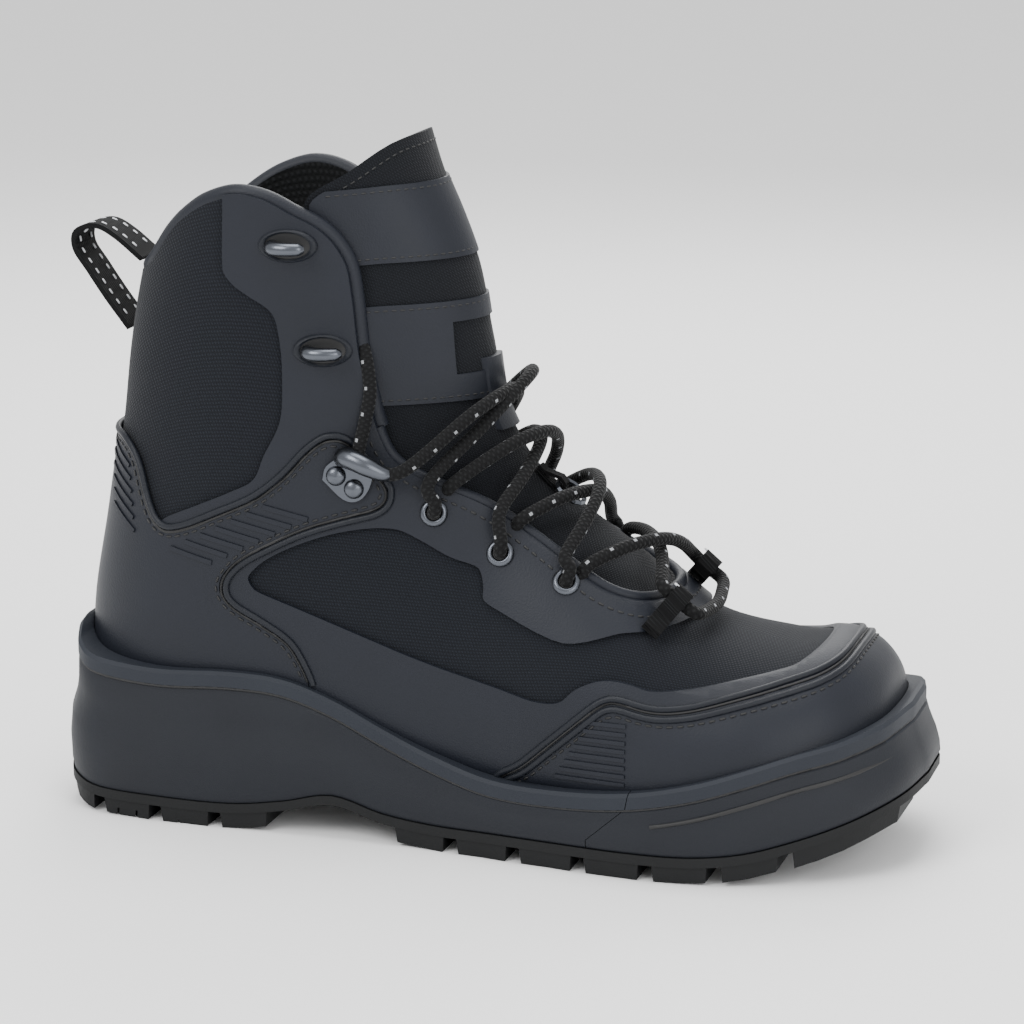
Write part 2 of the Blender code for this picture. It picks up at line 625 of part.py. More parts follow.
def make_overlays():
    inner, outer = GAP, GAP + OVERLAY_THICKNESS
    hidden = (below_welt(9.0), "DIFFERENCE")
    opening = (side_view(OPENING), "DIFFERENCE")
    counter, cap = side_view(COUNTER), side_view(TOE_CAP)
    side = add_band("side_overlay", inner, outer, [
        (side_view(SIDE_OVERLAY), "INTERSECT"), (side_view(WINDOW), "DIFFERENCE"), opening, hidden,
        (grown(counter, GAP), "DIFFERENCE"), (grown(cap, GAP), "DIFFERENCE")])
    heel = add_band("heel_counter", inner, outer, [(counter, "INTERSECT"), hidden])
    toe = add_band("toe_cap", inner, outer, [(cap, "INTERSECT"), hidden])
    return side, heel, toe


def make_tongue():
    def outer(place):
        return -wall_at(place) - GAP

    def inner(place):
        return outer(place) - TONGUE_THICKNESS
    return add_band("tongue", inner, outer, [(side_view(TONGUE), "INTERSECT")])


def make_insole():
    insole = add_form("insole", -VAMP_WALL - GAP)
    rings = form_rings(-VAMP_WALL - GAP)
    low = [(ring[0][0], ring[0][2]) for ring in rings if ring[0][2] < 0.17 * COLLAR_HEIGHT]
    top = [(x, z + INSOLE_THICKNESS) for x, z in low]
    outline = [(LENGTH + 20, top[0][1])] + top + [(-20.0, top[-1][1]), (-20.0, -20.0), (LENGTH + 20, -20.0)]
    return combine(insole, [add_prism("cutter", outline)], "INTERSECT")


def make_eyelets(skin):
    made = []
    profile = [(EYELET_HOLE, 0.0), (EYELET_RADIUS, 0.0), (EYELET_RADIUS - 1.0, EYELET_HEIGHT),
               (EYELET_HOLE + 0.6, EYELET_HEIGHT)]
    for side, word in ((-1, "outer"), (1, "inner")):
        for number, (x, z) in enumerate(EYELETS, start=1):
            frame = place_on(skin, x * LENGTH, z * COLLAR_HEIGHT, side, SEAT)
            made.append(add_lathe(f"eyelet_{word}_{number}", profile, 10, frame))
    return made


def make_lock_hooks(skin):
    """A riveted plate with a horn that bends forward over the lace."""
    made = []
    plate = [(-9.5, -2.0), (-8.0, 2.5), (-2.0, 6.5), (4.0, 6.5), (7.0, 2.0), (6.0, -5.0), (2.0, -9.5), (-3.0, -9.0)]
    for side, word in ((-1, "outer"), (1, "inner")):
        frame = place_on(skin, LOCK_HOOK[0] * LENGTH, LOCK_HOOK[1] * COLLAR_HEIGHT, side, 1.3)
        flip = -side
        outline = [(x, y * flip) for x, y in plate]
        hook = add_plate(f"lock_hook_{word}", outline, 0.0, HOOK_PLATE, frame)
        horn = [(-1.0, 5.0, 0.4), (0.5, 5.6, 3.6), (3.0, 5.2, 6.3), (7.0, 3.2, 7.4), (11.5, 1.0, 6.6), (14.0, 0.0, 5.2)]
        horn = [frame @ Vector((x, y * flip, z)) for x, y, z in horn]
        bend = add_tube("horn", horn, 2.6, sides=6, radii=[3.0, 2.9, 2.8, 2.5, 1.9, 1.2])
        rivets = []
        for x, y in ((-5.3, -0.8), (0.6, -5.2)):
            spot = frame @ Matrix.Translation((x, y * flip, 0.5))
            disc = [(2.7 * math.cos(a), 2.7 * math.sin(a)) for a in (2 * math.pi * k / 8 for k in range(8))]
            rivets.append(add_plate("rivet", disc, 0.0, 2.3, spot))
        made.append(combine(hook, [bend] + rivets, "UNION"))
    return made


def make_speed_hooks(skin):
    """An oval plate with a bent bar over it, open toward the front."""
    made = []
    for side, word in ((-1, "outer"), (1, "inner")):
        for number, (x, z) in enumerate(SPEED_HOOKS, start=1):
            frame = place_on(skin, x * LENGTH, z * COLLAR_HEIGHT, side, SEAT)
            oval = [(9.0 * math.cos(a), 5.4 * math.sin(a)) for a in (2 * math.pi * k / 12 for k in range(12))]
            hook = add_plate(f"speed_hook_{word}_{number}", oval, 0.0, HOOK_PLATE, frame)
            bar = [(-5.5, 0, 0.4), (-5.0, 0, 3.4), (-2.6, 0, 5.6), (1.5, 0, 6.4), (5.5, 0, 5.6)]
            bar = [frame @ Vector(p) for p in bar]
            made.append(combine(hook, [add_tube("bar", bar, 2.0, sides=6, radii=[2.2, 2.2, 2.3, 2.2, 1.5])], "UNION"))
    return made


def lace_stations(skin):
    """Where the lace turns on each side, from the keepers at the vamp up to the locking hooks."""
    lift = SEAT + EYELET_HEIGHT + LACE_RADIUS + 2.0
    stations = []
    for side in (-1, 1):
        keeper = top_at(skin, KEEPER[0] * LENGTH, side * KEEPER[1] * BALL_WIDTH, LACE_RADIUS + 4.4)
        turns = [keeper]
        for x, z in EYELETS:
            turns.append(place_on(skin, x * LENGTH, z * COLLAR_HEIGHT, side, lift).translation)
        frame = place_on(skin, LOCK_HOOK[0] * LENGTH, LOCK_HOOK[1] * COLLAR_HEIGHT, side, 1.3)
        turns.append(frame @ Vector((17.5, 1.2 * -side, LACE_RADIUS + 2.0)))
        stations.append(turns)
    return stations


def keeper_bar(skin, side, forward):
    """A point of the straight stretch of lace that a keeper holds."""
    return top_at(skin, KEEPER[0] * LENGTH + forward, side * KEEPER[1] * BALL_WIDTH, LACE_RADIUS + 4.4)


def lace_span(skin, start, end, turn):
    """A strand from eyelet to eyelet, arched clear of the tongue and a little past each end, to join the next."""
    middle = (start + end) / 2
    out = Vector((0.7, 0.0, 0.714))
    ridge = skin.ray_cast(middle + out * 100, -out)[0]
    rise = max(0.0, (ridge - middle).dot(out) + LACE_RADIUS) + 2.6
    past = (end - start).normalized() * LACE_RADIUS * 0.3
    path = [start - past]
    for share, blend in ((0.18, 0.62), (0.5, 1.0), (0.82, 0.62)):
        path.append(start.lerp(end, share) + out * rise * blend)
    return add_tube("lace_crossings", path + [end + past], LACE_RADIUS, sides=5, turn=turn)


def make_lace(skin):
    """The crossings: spans that join where they cross and where they turn, with a loop between the keepers."""
    outer, inner = lace_stations(skin)
    spans = []
    for level in range(len(outer) - 1):
        spans.append(lace_span(skin, outer[level], inner[level + 1], 0.1 * level))
        spans.append(lace_span(skin, inner[level], outer[level + 1], 0.3 + 0.07 * level))
    bar = [keeper_bar(skin, -1, forward) for forward in (-1.5, 4.0, KEEPER_SPAN[1] + 3.5)]
    left, right = bar[-1], keeper_bar(skin, 1, KEEPER_SPAN[1] + 3.5)
    for forward, share in ((5.0, 0.15), (7.5, 0.5), (5.0, 0.85)):
        point = left.lerp(right, share) + Vector((forward, 0, 0))
        bar.append(top_at(skin, point.x, point.y, LACE_RADIUS + 1.6))
    bar += [keeper_bar(skin, 1, forward) for forward in (KEEPER_SPAN[1] + 3.5, 4.0, -1.5)]
    spans.append(add_tube("bar", bar, LACE_RADIUS * 1.04, sides=5))
    lace = combine(spans[0], spans[1:], "UNION")
    ends = []
    for side, word, turns in ((-1, "outer", outer), (1, "inner", inner)):
        start = turns[-1] + Vector((-1.0, 0.0, 2 * LACE_RADIUS - 0.4))
        path = [start]
        for x, z in ((0.404, 0.680), (0.396, 0.735)):
            path.append(place_on(skin, x * LENGTH, z * COLLAR_HEIGHT, side, 1.2).translation)
        ends.append(add_tube(f"lace_end_{word}", smooth_path(path, 2), LACE_RADIUS, sides=5))
    return [lace] + ends


def make_keepers(skin):
    """A folded strip of webbing round the lace at each side of the throat's end, lying on the overlay."""
    made = []
    for side, word in ((-1, "outer"), (1, "inner")):
        start, end = (keeper_bar(skin, side, forward) for forward in KEEPER_SPAN)
        along = (end - start).normalized()
        up = Vector((0, 0, 1))
        up = (up - along * up.dot(along)).normalized()
        frame = Matrix((along, up.cross(along), up)).transposed().to_4x4()
        frame.translation = (start + end) / 2
        half = (end - start).length / 2
        legs = []
        for across in KEEPER_LEG:
            rays = [frame @ Vector((x, side * across, 30)) for x in (-half, 0, half)]
            low = max((frame.inverted() @ skin.ray_cast(ray, -up)[0]).z for ray in rays)
            legs.append((side * across, low + SEAT + WEBBING / 2))
        radius = LACE_RADIUS + LOOSE + WEBBING / 2
        turn = [(-side * radius * math.sin(a), -radius * math.cos(a)) for a in
                (math.radians(d) for d in (10, 55, 100, 145, 190, 232))]
        path = legs + turn + [(y, z + WEBBING + GAP) for y, z in legs[::-1]]
        outline = [(y, z) for y, z in ribbon(path, WEBBING)]
        count = len(outline)
        points = [frame @ Vector((x, y, z)) for x in (-half, half) for y, z in outline]
        faces = [tuple(range(count)), tuple(range(2 * count - 1, count - 1, -1))]
        faces += [(i, (i + 1) % count, (i + 1) % count + count, i + count) for i in range(count)]
        made.append(consistent(add_mesh(f"lace_keeper_{word}", points, faces)))
    return made


def make_ring():
    """A wire ring that lies on the tongue, and the webbing tab that holds it."""
    tongue = surface_tree(-VAMP_WALL - GAP)
    centre = top_at(tongue, RING_PLACE * LENGTH, 0.0, RING_WIRE + WEBBING + 5 * GAP)
    normal = (top_at(tongue, RING_PLACE * LENGTH, 0.0, 1.0) - top_at(tongue, RING_PLACE * LENGTH, 0.0)).normalized()
    along = Vector((normal.z, 0, -normal.x)).normalized()
    frame = Matrix((along, normal.cross(along), normal)).transposed().to_4x4()
    frame.translation = centre
    wire = [(RING_RADIUS + RING_WIRE * math.cos(a), RING_WIRE * math.sin(a)) for a in
            (math.radians(d) for d in (0, 72, 144, 216, 288))]
    ring = add_lathe("tongue_ring", wire, 14, frame)
    layer = RING_WIRE + 1.5 * GAP + WEBBING / 2
    turn = [(-RING_RADIUS + (layer + LOOSE) * math.sin(a), -layer * math.cos(a)) for a in
            (math.radians(d) for d in (0, 45, 90, 135, 180))]
    back = -layer + WEBBING + GAP
    path = [(-RING_RADIUS - RING_TAB, -layer + 0.6), (-RING_RADIUS - 4.0, -layer)] + turn + [
        (-RING_RADIUS - 6.0, back + 0.3), (-RING_RADIUS - RING_TAB, back + 0.6)]
    tab = add_prism("ring_tab", ribbon(path, WEBBING), -RING_TAB_WIDTH / 2, RING_TAB_WIDTH / 2)
    turned = Matrix((along, Vector((0, 1, 0)), normal)).transposed().to_4x4()
    turned.translation = centre
    tab.data.transform(turned)
    return [ring, consistent(tab)]


def make_pull_loop():
    path = [(0.0705, 0.755), (0.045, 0.800), (0.022, 0.845), (0.006, 0.878), (0.008, 0.905), (0.032, 0.915),
            (0.056, 0.900), (0.0875, 0.866)]
    outline = ribbon(side_view(path), LOOP_THICKNESS)
    return add_prism("pull_loop", outline, -LOOP_WIDTH / 2, LOOP_WIDTH / 2)


# ---- Finish ----

WELD = 0.001

COLOURS = {
    "rubber": ((0.025, 0.027, 0.031), 0.72, 0.0),
    "tread_rubber": ((0.018, 0.019, 0.022), 0.78, 0.0),
    "textile": ((0.016, 0.017, 0.018), 0.90, 0.0),
    "synthetic_leather": ((0.021, 0.023, 0.028), 0.62, 0.0),
    "foam": ((0.03, 0.03, 0.032), 0.92, 0.0),
    "webbing": ((0.014, 0.014, 0.015), 0.88, 0.0),
    "cord": ((0.02, 0.02, 0.021), 0.85, 0.0),
    "metal": ((0.11, 0.11, 0.12), 0.38, 0.9),
}


def material(name):
    found = bpy.data.materials.get(name)
    if found:
        return found
    made = bpy.data.materials.new(name)
    made.use_nodes = True
    shader = made.node_tree.nodes["Principled BSDF"]
    colour, roughness, metallic = COLOURS[name]
    shader.inputs["Base Color"].default_value = (*colour, 1.0)
    shader.inputs["Roughness"].default_value = roughness
    shader.inputs["Metallic"].default_value = metallic
    return made


def to_triangles(mesh):
    """Splits the faces into triangles, by whichever method keeps the surface closed."""
    for method in ("BEAUTY", "EAR_CLIP"):
        work = bmesh.new()
        work.from_mesh(mesh)
        bmesh.ops.triangulate(work, faces=work.faces[:], ngon_method=method)
        bmesh.ops.dissolve_degenerate(work, dist=WELD, edges=work.edges[:])
        bmesh.ops.triangulate(work, faces=work.faces[:], ngon_method=method)
        closed = all(len(edge.link_faces) == 2 for edge in work.edges)
        if closed:
            work.to_mesh(mesh)
        work.free()
        if closed:
            return


def finish(made, name):
    """Cleans a piece, turns it to metres about the heel, and gives it its material."""
    bpy.ops.object.select_all(action="DESELECT")
    made.select_set(True)
    bpy.context.view_layer.objects.active = made
    bpy.ops.object.mode_set(mode="EDIT")
    bpy.ops.mesh.select_all(action="SELECT")
    bpy.ops.mesh.remove_doubles(threshold=WELD)
    bpy.ops.mesh.dissolve_degenerate(threshold=WELD)
    bpy.ops.object.mode_set(mode="OBJECT")
    to_triangles(made.data)
    made.data.transform(Matrix.Scale(MM, 4) @ Matrix.Translation((-HEEL_REST, 0, 0)))
    made.data.materials.clear()
    made.data.materials.append(material(name))


def main():
    for old in list(bpy.data.objects):
        bpy.data.objects.remove(old)
    skin = surface_tree(GAP + OVERLAY_THICKNESS)
    midsole, bumper = make_side_wall()
    side, heel, toe = make_overlays()
    lace, *ends = make_lace(skin)
    pieces = [
        (make_outsole(), "tread_rubber"), (midsole, "rubber"), (bumper, "rubber"), (make_insole(), "foam"),
        (make_upper(), "textile"), (side, "synthetic_leather"), (heel, "synthetic_leather"),
        (toe, "synthetic_leather"), (make_tongue(), "textile"), (make_pull_loop(), "webbing"), (lace, "cord"),
    ]
    pieces += [(end, "cord") for end in ends]
    ring, tab = make_ring()
    pieces += [(keeper, "webbing") for keeper in make_keepers(skin)] + [(tab, "webbing"), (ring, "metal")]
    pieces += [(piece, "metal") for piece in make_eyelets(skin) + make_lock_hooks(skin) + make_speed_hooks(skin)]
    for made, name in pieces:
        finish(made, name)


main()
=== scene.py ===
import json
import math

import bpy
import numpy as np
from mathutils import Matrix, Vector
from mathutils.bvhtree import BVHTree

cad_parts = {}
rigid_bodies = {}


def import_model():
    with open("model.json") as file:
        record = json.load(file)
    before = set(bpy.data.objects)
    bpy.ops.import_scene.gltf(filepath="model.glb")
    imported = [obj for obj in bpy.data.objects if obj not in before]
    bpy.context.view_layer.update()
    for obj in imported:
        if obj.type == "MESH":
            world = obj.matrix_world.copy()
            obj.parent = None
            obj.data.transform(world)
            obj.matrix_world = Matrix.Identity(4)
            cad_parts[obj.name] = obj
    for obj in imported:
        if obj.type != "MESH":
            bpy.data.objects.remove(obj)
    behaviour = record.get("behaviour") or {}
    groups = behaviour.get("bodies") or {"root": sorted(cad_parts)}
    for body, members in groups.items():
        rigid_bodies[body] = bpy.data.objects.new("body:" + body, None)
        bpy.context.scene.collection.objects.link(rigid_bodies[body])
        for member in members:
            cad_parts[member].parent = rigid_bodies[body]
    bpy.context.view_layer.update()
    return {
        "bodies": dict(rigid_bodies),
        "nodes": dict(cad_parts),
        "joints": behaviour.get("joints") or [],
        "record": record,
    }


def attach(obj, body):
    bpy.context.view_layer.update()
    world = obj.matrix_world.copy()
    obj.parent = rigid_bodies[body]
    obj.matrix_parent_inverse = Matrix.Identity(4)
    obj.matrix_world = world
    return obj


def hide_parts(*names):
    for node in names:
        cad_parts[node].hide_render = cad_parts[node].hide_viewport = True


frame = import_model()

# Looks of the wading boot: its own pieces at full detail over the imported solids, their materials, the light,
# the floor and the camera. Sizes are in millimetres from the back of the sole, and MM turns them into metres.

MM = 0.001

# Overall sizes
LENGTH = 322.0
BALL_WIDTH = 105.0
HEEL_WIDTH = 80.0
SHAFT_WIDTH = 88.0
TOE_HEIGHT = 76.0
COLLAR_HEIGHT = 234.0
HEEL_REST = 50.0

# Upper
VAMP_WALL = 2.6
COLLAR_WALL = 6.0
OVERLAY_THICKNESS = 1.4
TONGUE_THICKNESS = 4.5
FEATHER_WIDTH = 10.0
GAP = 0.3
# How far a tool reaches past what it cuts, across the foot and past the collar
CLEAR_ACROSS = 150.0
CUT_RISE = 12.0
# Below this height the opening's edge is the thin throat, above it the padded collar
THROAT_TOP = 150.0
# Deeper than this under the form's surface the upper shows its lining
LINING_DEPTH = 1.6

# Sections of the upper from the toe round the heel to the collar. Each lies in a plane across the foot, from a
# low or back point to a top or front point: x as a share of LENGTH, z of the named height, y of the named width.
# The belly is how far up the widest place is, and the rounds are the powers of the curves below and above it.
SECTIONS = (
    # height of, width of, low x, low z, top x, top z, outer y, inner y, ridge y, belly, low round, top round
    (TOE_HEIGHT, BALL_WIDTH, 0.962, 0.50, 0.960, 0.66, 0.02, 0.21, 0.125, 0.50, 2.0, 2.0),
    (TOE_HEIGHT, BALL_WIDTH, 0.952, 0.34, 0.943, 0.87, -0.175, 0.36, 0.115, 0.42, 3.0, 2.4),
    (TOE_HEIGHT, BALL_WIDTH, 0.922, 0.27, 0.902, 0.985, -0.345, 0.455, 0.10, 0.34, 3.6, 2.6),
    (TOE_HEIGHT, BALL_WIDTH, 0.855, 0.235, 0.835, 0.99, -0.465, 0.495, 0.08, 0.31, 4.0, 2.5),
    (TOE_HEIGHT, BALL_WIDTH, 0.755, 0.217, 0.742, 1.09, -0.505, 0.49, 0.06, 0.29, 4.0, 2.2),
    (TOE_HEIGHT, BALL_WIDTH, 0.665, 0.217, 0.668, 1.37, -0.485, 0.455, 0.05, 0.28, 4.0, 2.1),
    (TOE_HEIGHT, BALL_WIDTH, 0.585, 0.22, 0.597, 1.60, -0.45, 0.41, 0.045, 0.28, 4.0, 2.0),
    (COLLAR_HEIGHT, HEEL_WIDTH, 0.481, 0.075, 0.547, 0.581, -0.535, 0.50, 0.045, 0.28, 4.0, 2.0),
    (COLLAR_HEIGHT, HEEL_WIDTH, 0.357, 0.098, 0.522, 0.641, -0.52, 0.50, 0.035, 0.29, 4.0, 2.05),
    (COLLAR_HEIGHT, HEEL_WIDTH, 0.217, 0.12, 0.512, 0.684, -0.51, 0.50, 0.025, 0.31, 3.6, 2.1),
    (COLLAR_HEIGHT, HEEL_WIDTH, 0.087, 0.135, 0.509, 0.718, -0.505, 0.495, 0.015, 0.34, 3.0, 2.1),
    (COLLAR_HEIGHT, HEEL_WIDTH, 0.030, 0.19, 0.506, 0.752, -0.505, 0.495, 0.01, 0.38, 2.5, 2.1),
    (COLLAR_HEIGHT, HEEL_WIDTH, 0.0235, 0.308, 0.50, 0.795, -0.505, 0.495, 0.005, 0.42, 2.2, 2.1),
    (COLLAR_HEIGHT, SHAFT_WIDTH, 0.041, 0.4615, 0.494, 0.846, -0.455, 0.455, 0.0, 0.45, 2.1, 2.1),
    (COLLAR_HEIGHT, SHAFT_WIDTH, 0.0585, 0.607, 0.4845, 0.906, -0.465, 0.465, 0.0, 0.46, 2.1, 2.1),
    (COLLAR_HEIGHT, SHAFT_WIDTH, 0.071, 0.735, 0.470, 0.974, -0.48, 0.48, 0.0, 0.46, 2.1, 2.1),
    (COLLAR_HEIGHT, SHAFT_WIDTH, 0.089, 0.855, 0.451, 1.043, -0.495, 0.495, 0.0, 0.46, 2.1, 2.1),
    (COLLAR_HEIGHT, SHAFT_WIDTH, 0.116, 0.99, 0.433, 1.12, -0.505, 0.505, 0.0, 0.46, 2.1, 2.1),
)
# Places along the table, in rows, where the form gets a section
STATIONS = np.arange(0, 17.01, 0.125)
QUARTER = 22
PAD_START = 13
PAD_END = 16

# Outlines in side view: x as a share of LENGTH, z of COLLAR_HEIGHT. They are cut straight through both sides.
OPENING = ((-0.10, 0.80), (0.095, 0.855), (0.125, 0.879), (0.162, 0.939), (0.202, 0.981), (0.243, 1.000),
           (0.277, 0.993), (0.308, 0.971), (0.334, 0.952), (0.351, 0.930), (0.365, 0.895), (0.371, 0.842),
           (0.376, 0.765), (0.384, 0.704), (0.393, 0.649), (0.408, 0.601), (0.431, 0.576), (0.464, 0.557),
           (0.508, 0.532), (0.564, 0.486), (0.618, 0.439), (0.650, 0.413), (0.682, 0.396), (0.705, 0.388),
           (0.722, 0.388), (0.740, 0.42), (0.80, 1.40), (-0.10, 1.40))
SIDE_OVERLAY = ((0.232, 1.30), (0.231, 0.990), (0.229, 0.882), (0.240, 0.861), (0.257, 0.845), (0.284, 0.819),
                (0.292, 0.770), (0.293, 0.715), (0.289, 0.651), (0.270, 0.597), (0.257, 0.558), (0.230, 0.537),
                (0.193, 0.514), (0.147, 0.485), (0.135, 0.466), (0.300, 0.200), (0.300, 0.0), (1.10, 0.0),
                (1.10, 1.30))
WINDOW = ((0.249, 0.403), (0.266, 0.429), (0.298, 0.454), (0.344, 0.478), (0.390, 0.491), (0.421, 0.491),
          (0.447, 0.477), (0.481, 0.454), (0.513, 0.439), (0.520, 0.415), (0.522, 0.393), (0.542, 0.378),
          (0.617, 0.341), (0.677, 0.357), (0.710, 0.357), (0.737, 0.360), (0.747, 0.365), (0.75, 0.50),
          (0.93, 0.50), (0.891, 0.335), (0.874, 0.318), (0.858, 0.307), (0.809, 0.295), (0.759, 0.283),
          (0.718, 0.281), (0.696, 0.289), (0.676, 0.293), (0.657, 0.290), (0.635, 0.276), (0.619, 0.256),
          (0.605, 0.251), (0.584, 0.252), (0.547, 0.263), (0.487, 0.281), (0.429, 0.304), (0.311, 0.358),
          (0.257, 0.384))
COUNTER = ((-0.10, 0.60), (0.077, 0.591), (0.101, 0.565), (0.115, 0.514), (0.129, 0.478), (0.147, 0.463),
           (0.174, 0.471), (0.211, 0.494), (0.262, 0.527), (0.300, 0.570), (0.325, 0.612), (0.344, 0.625),
           (0.360, 0.621), (0.374, 0.602), (0.389, 0.575), (0.405, 0.552), (0.409, 0.535), (0.400, 0.522),
           (0.355, 0.504), (0.310, 0.483), (0.264, 0.451), (0.234, 0.427), (0.217, 0.400), (0.215, 0.377),
           (0.229, 0.353), (0.263, 0.328), (0.296, 0.301), (0.310, 0.271), (0.320, 0.242), (0.325, 0.0),
           (-0.10, 0.0))
TOE_CAP = ((0.520, 0.0), (0.546, 0.121), (0.572, 0.144), (0.608, 0.188), (0.649, 0.238), (0.665, 0.256),
           (0.678, 0.263), (0.693, 0.260), (0.710, 0.254), (0.732, 0.251), (0.763, 0.255), (0.815, 0.273),
           (0.863, 0.290), (0.891, 0.301), (0.911, 0.314), (0.918, 0.33), (0.94, 0.50), (1.10, 0.50),
           (1.10, 0.0))
TONGUE = ((0.315, 0.985), (0.330, 0.900), (0.342, 0.800), (0.352, 0.700), (0.365, 0.620), (0.390, 0.560),
          (0.440, 0.510), (0.500, 0.470), (0.560, 0.425), (0.620, 0.380), (0.680, 0.345), (0.745, 0.325),
          (0.760, 0.50), (0.52, 1.00), (0.455, 1.082), (0.408, 1.076), (0.360, 1.030))

# The sole from above and its heights: x as a share of LENGTH, y of SOLE_WIDTH. The lift is how far the tread is
# off the floor, as a share of TOE_SPRING, and the wall is the welt's top, as a share of WALL_HEIGHT.
SOLE_WIDTH = 118.0
TOE_SPRING = 20.0
WALL_HEIGHT = 60.0
SOLE = (
    # x, outer y, inner y, lift, wall
    (0.000, -0.110, 0.110, 0.30, 1.14),
    (0.007, -0.205, 0.205, 0.24, 1.12),
    (0.025, -0.300, 0.295, 0.15, 1.06),
    (0.062, -0.362, 0.358, 0.03, 1.00),
    (0.140, -0.390, 0.385, 0.00, 0.97),
    (0.225, -0.394, 0.386, 0.00, 0.99),
    (0.290, -0.394, 0.380, 0.14, 0.97),
    (0.350, -0.396, 0.374, 0.34, 0.87),
    (0.410, -0.402, 0.370, 0.10, 0.72),
    (0.470, -0.416, 0.373, 0.00, 0.59),
    (0.540, -0.443, 0.390, 0.00, 0.49),
    (0.620, -0.474, 0.428, 0.00, 0.48),
    (0.700, -0.500, 0.470, 0.00, 0.52),
    (0.770, -0.500, 0.494, 0.02, 0.60),
    (0.830, -0.474, 0.498, 0.13, 0.70),
    (0.885, -0.415, 0.478, 0.35, 0.79),
    (0.932, -0.350, 0.445, 0.60, 0.85),
    (0.966, -0.255, 0.385, 0.80, 0.89),
    (0.988, -0.145, 0.310, 0.94, 0.92),
    (1.000, 0.010, 0.200, 1.02, 0.93),
)
SOLE_PLACES = np.arange(0, 19.01, 0.2)

# Levels of the side wall, from the tread up to the welt: how far up from the tread to the welt's groove, and how
# far out. The welt's own levels stand above the groove.
WALL_LEVELS = (
    # share up, outward at the heel, outward at the front
    (0.00, -0.6, -0.6),
    (0.08, 0.2, 0.2),
    (0.28, 0.9, 0.5),
    (0.47, 0.7, 0.4),
    (0.60, -0.7, 0.0),
    (0.74, -1.0, -0.3),
    (0.93, -0.5, -0.2),
    (0.972, -1.3, -1.1),
    (0.992, -1.3, -1.1),
)
WELT_HEIGHT = 5.6
WELT_OUT = -0.1
WELT_ROUND = 1.2
BACK_LEAN = 4.0
TOE_LEAN = 5.5
CUP_CLEARANCE = GAP + OVERLAY_THICKNESS + GAP
BUMPER_SEAM = ((0.655, -0.1), (0.655, 0.055), (0.700, 0.110), (0.712, 0.200), (0.712, 0.50))

# Tread
LUG_HEIGHT = 6.0
TREAD_THICKNESS = 3.5
LUG_TAPER = 1.2
# Edge lugs: from x to x as shares of LENGTH, and how far in they reach as a share of the sole's half width
EDGE_LUGS = (
    (0.014, 0.055, 0.93), (0.068, 0.128, 0.42), (0.141, 0.201, 0.45), (0.214, 0.272, 0.45),
    (0.425, 0.485, 0.52), (0.499, 0.561, 0.52), (0.575, 0.638, 0.52), (0.652, 0.716, 0.52),
    (0.730, 0.792, 0.52), (0.806, 0.866, 0.50), (0.880, 0.982, 0.93),
)
# Middle lugs: x of the centre, y of the centre as a share of SOLE_WIDTH
MIDDLE_LUGS = (
    (0.1553, 0.0), (0.455, -0.03), (0.506, 0.105), (0.540, -0.11), (0.592, 0.07), (0.626, -0.125),
    (0.678, 0.075), (0.712, -0.12), (0.764, 0.085), (0.800, -0.10), (0.846, 0.085),
)
MIDDLE_LUG_LENGTH = 22.0
MIDDLE_LUG_WIDTH = 23.0
# Slits and half-round notches by turns along the tread's edge, and zigzags and recesses by turns in the lugs
EDGE_CUT_SPACING = 11.6
NOTCH = (2.3, 2.6)
NOTCH_DEPTH = 3.0
SLIT = ((-0.6, -2), (0.6, -2), (0.6, 5.2), (-0.6, 5.2))
SLIT_DEPTH = 4.0
ZIGZAG_APART = 3.4
ZIGZAG_SWING = 0.9
ZIGZAG_HALF = 0.45
ZIGZAG_DEPTH = 2.6
RECESS_RADIUS = 4.2
RECESS_DEPTH = 1.4

# Lacing
LACE_RADIUS = 2.4
EYELETS = ((0.611, 0.424), (0.535, 0.461), (0.460, 0.518))
EYELET_RADIUS = 5.0
EYELET_HOLE = 2.5
LOCK_HOOK = (0.368, 0.575)
SPEED_HOOKS = ((0.339, 0.764), (0.304, 0.924))
HOOK_PLATE = 1.3
KEEPER = (0.702, 0.185)
LOOP_WIDTH = 18.0
LOOP_THICKNESS = 1.8


# Curves, forms and solids

def spline(rows, places):
    """Points of a smooth curve through the rows, at places counted in rows."""
    rows = np.asarray(rows, float)
    ends = np.vstack([2 * rows[0] - rows[1], rows, 2 * rows[-1] - rows[-2]])
    points = []
    for place in places:
        i = min(int(place), len(rows) - 2)
        before, start, end, after = ends[i:i + 4]
        t = place - i
        points.append(0.5 * (2 * start + (end - before) * t
                             + (2 * before - 5 * start + 4 * end - after) * t ** 2
                             + (3 * start - before - 3 * end + after) * t ** 3))
    return np.array(points)


def section_rows():
    """The sections' table with its shares turned into sizes."""
    rows = []
    for height, width, low_x, low_z, top_x, top_z, outer, inner, ridge, *shape in SECTIONS:
        rows.append([low_x * LENGTH, low_z * height, top_x * LENGTH, top_z * height,
                     outer * width, inner * width, ridge * width, *shape])
    return rows


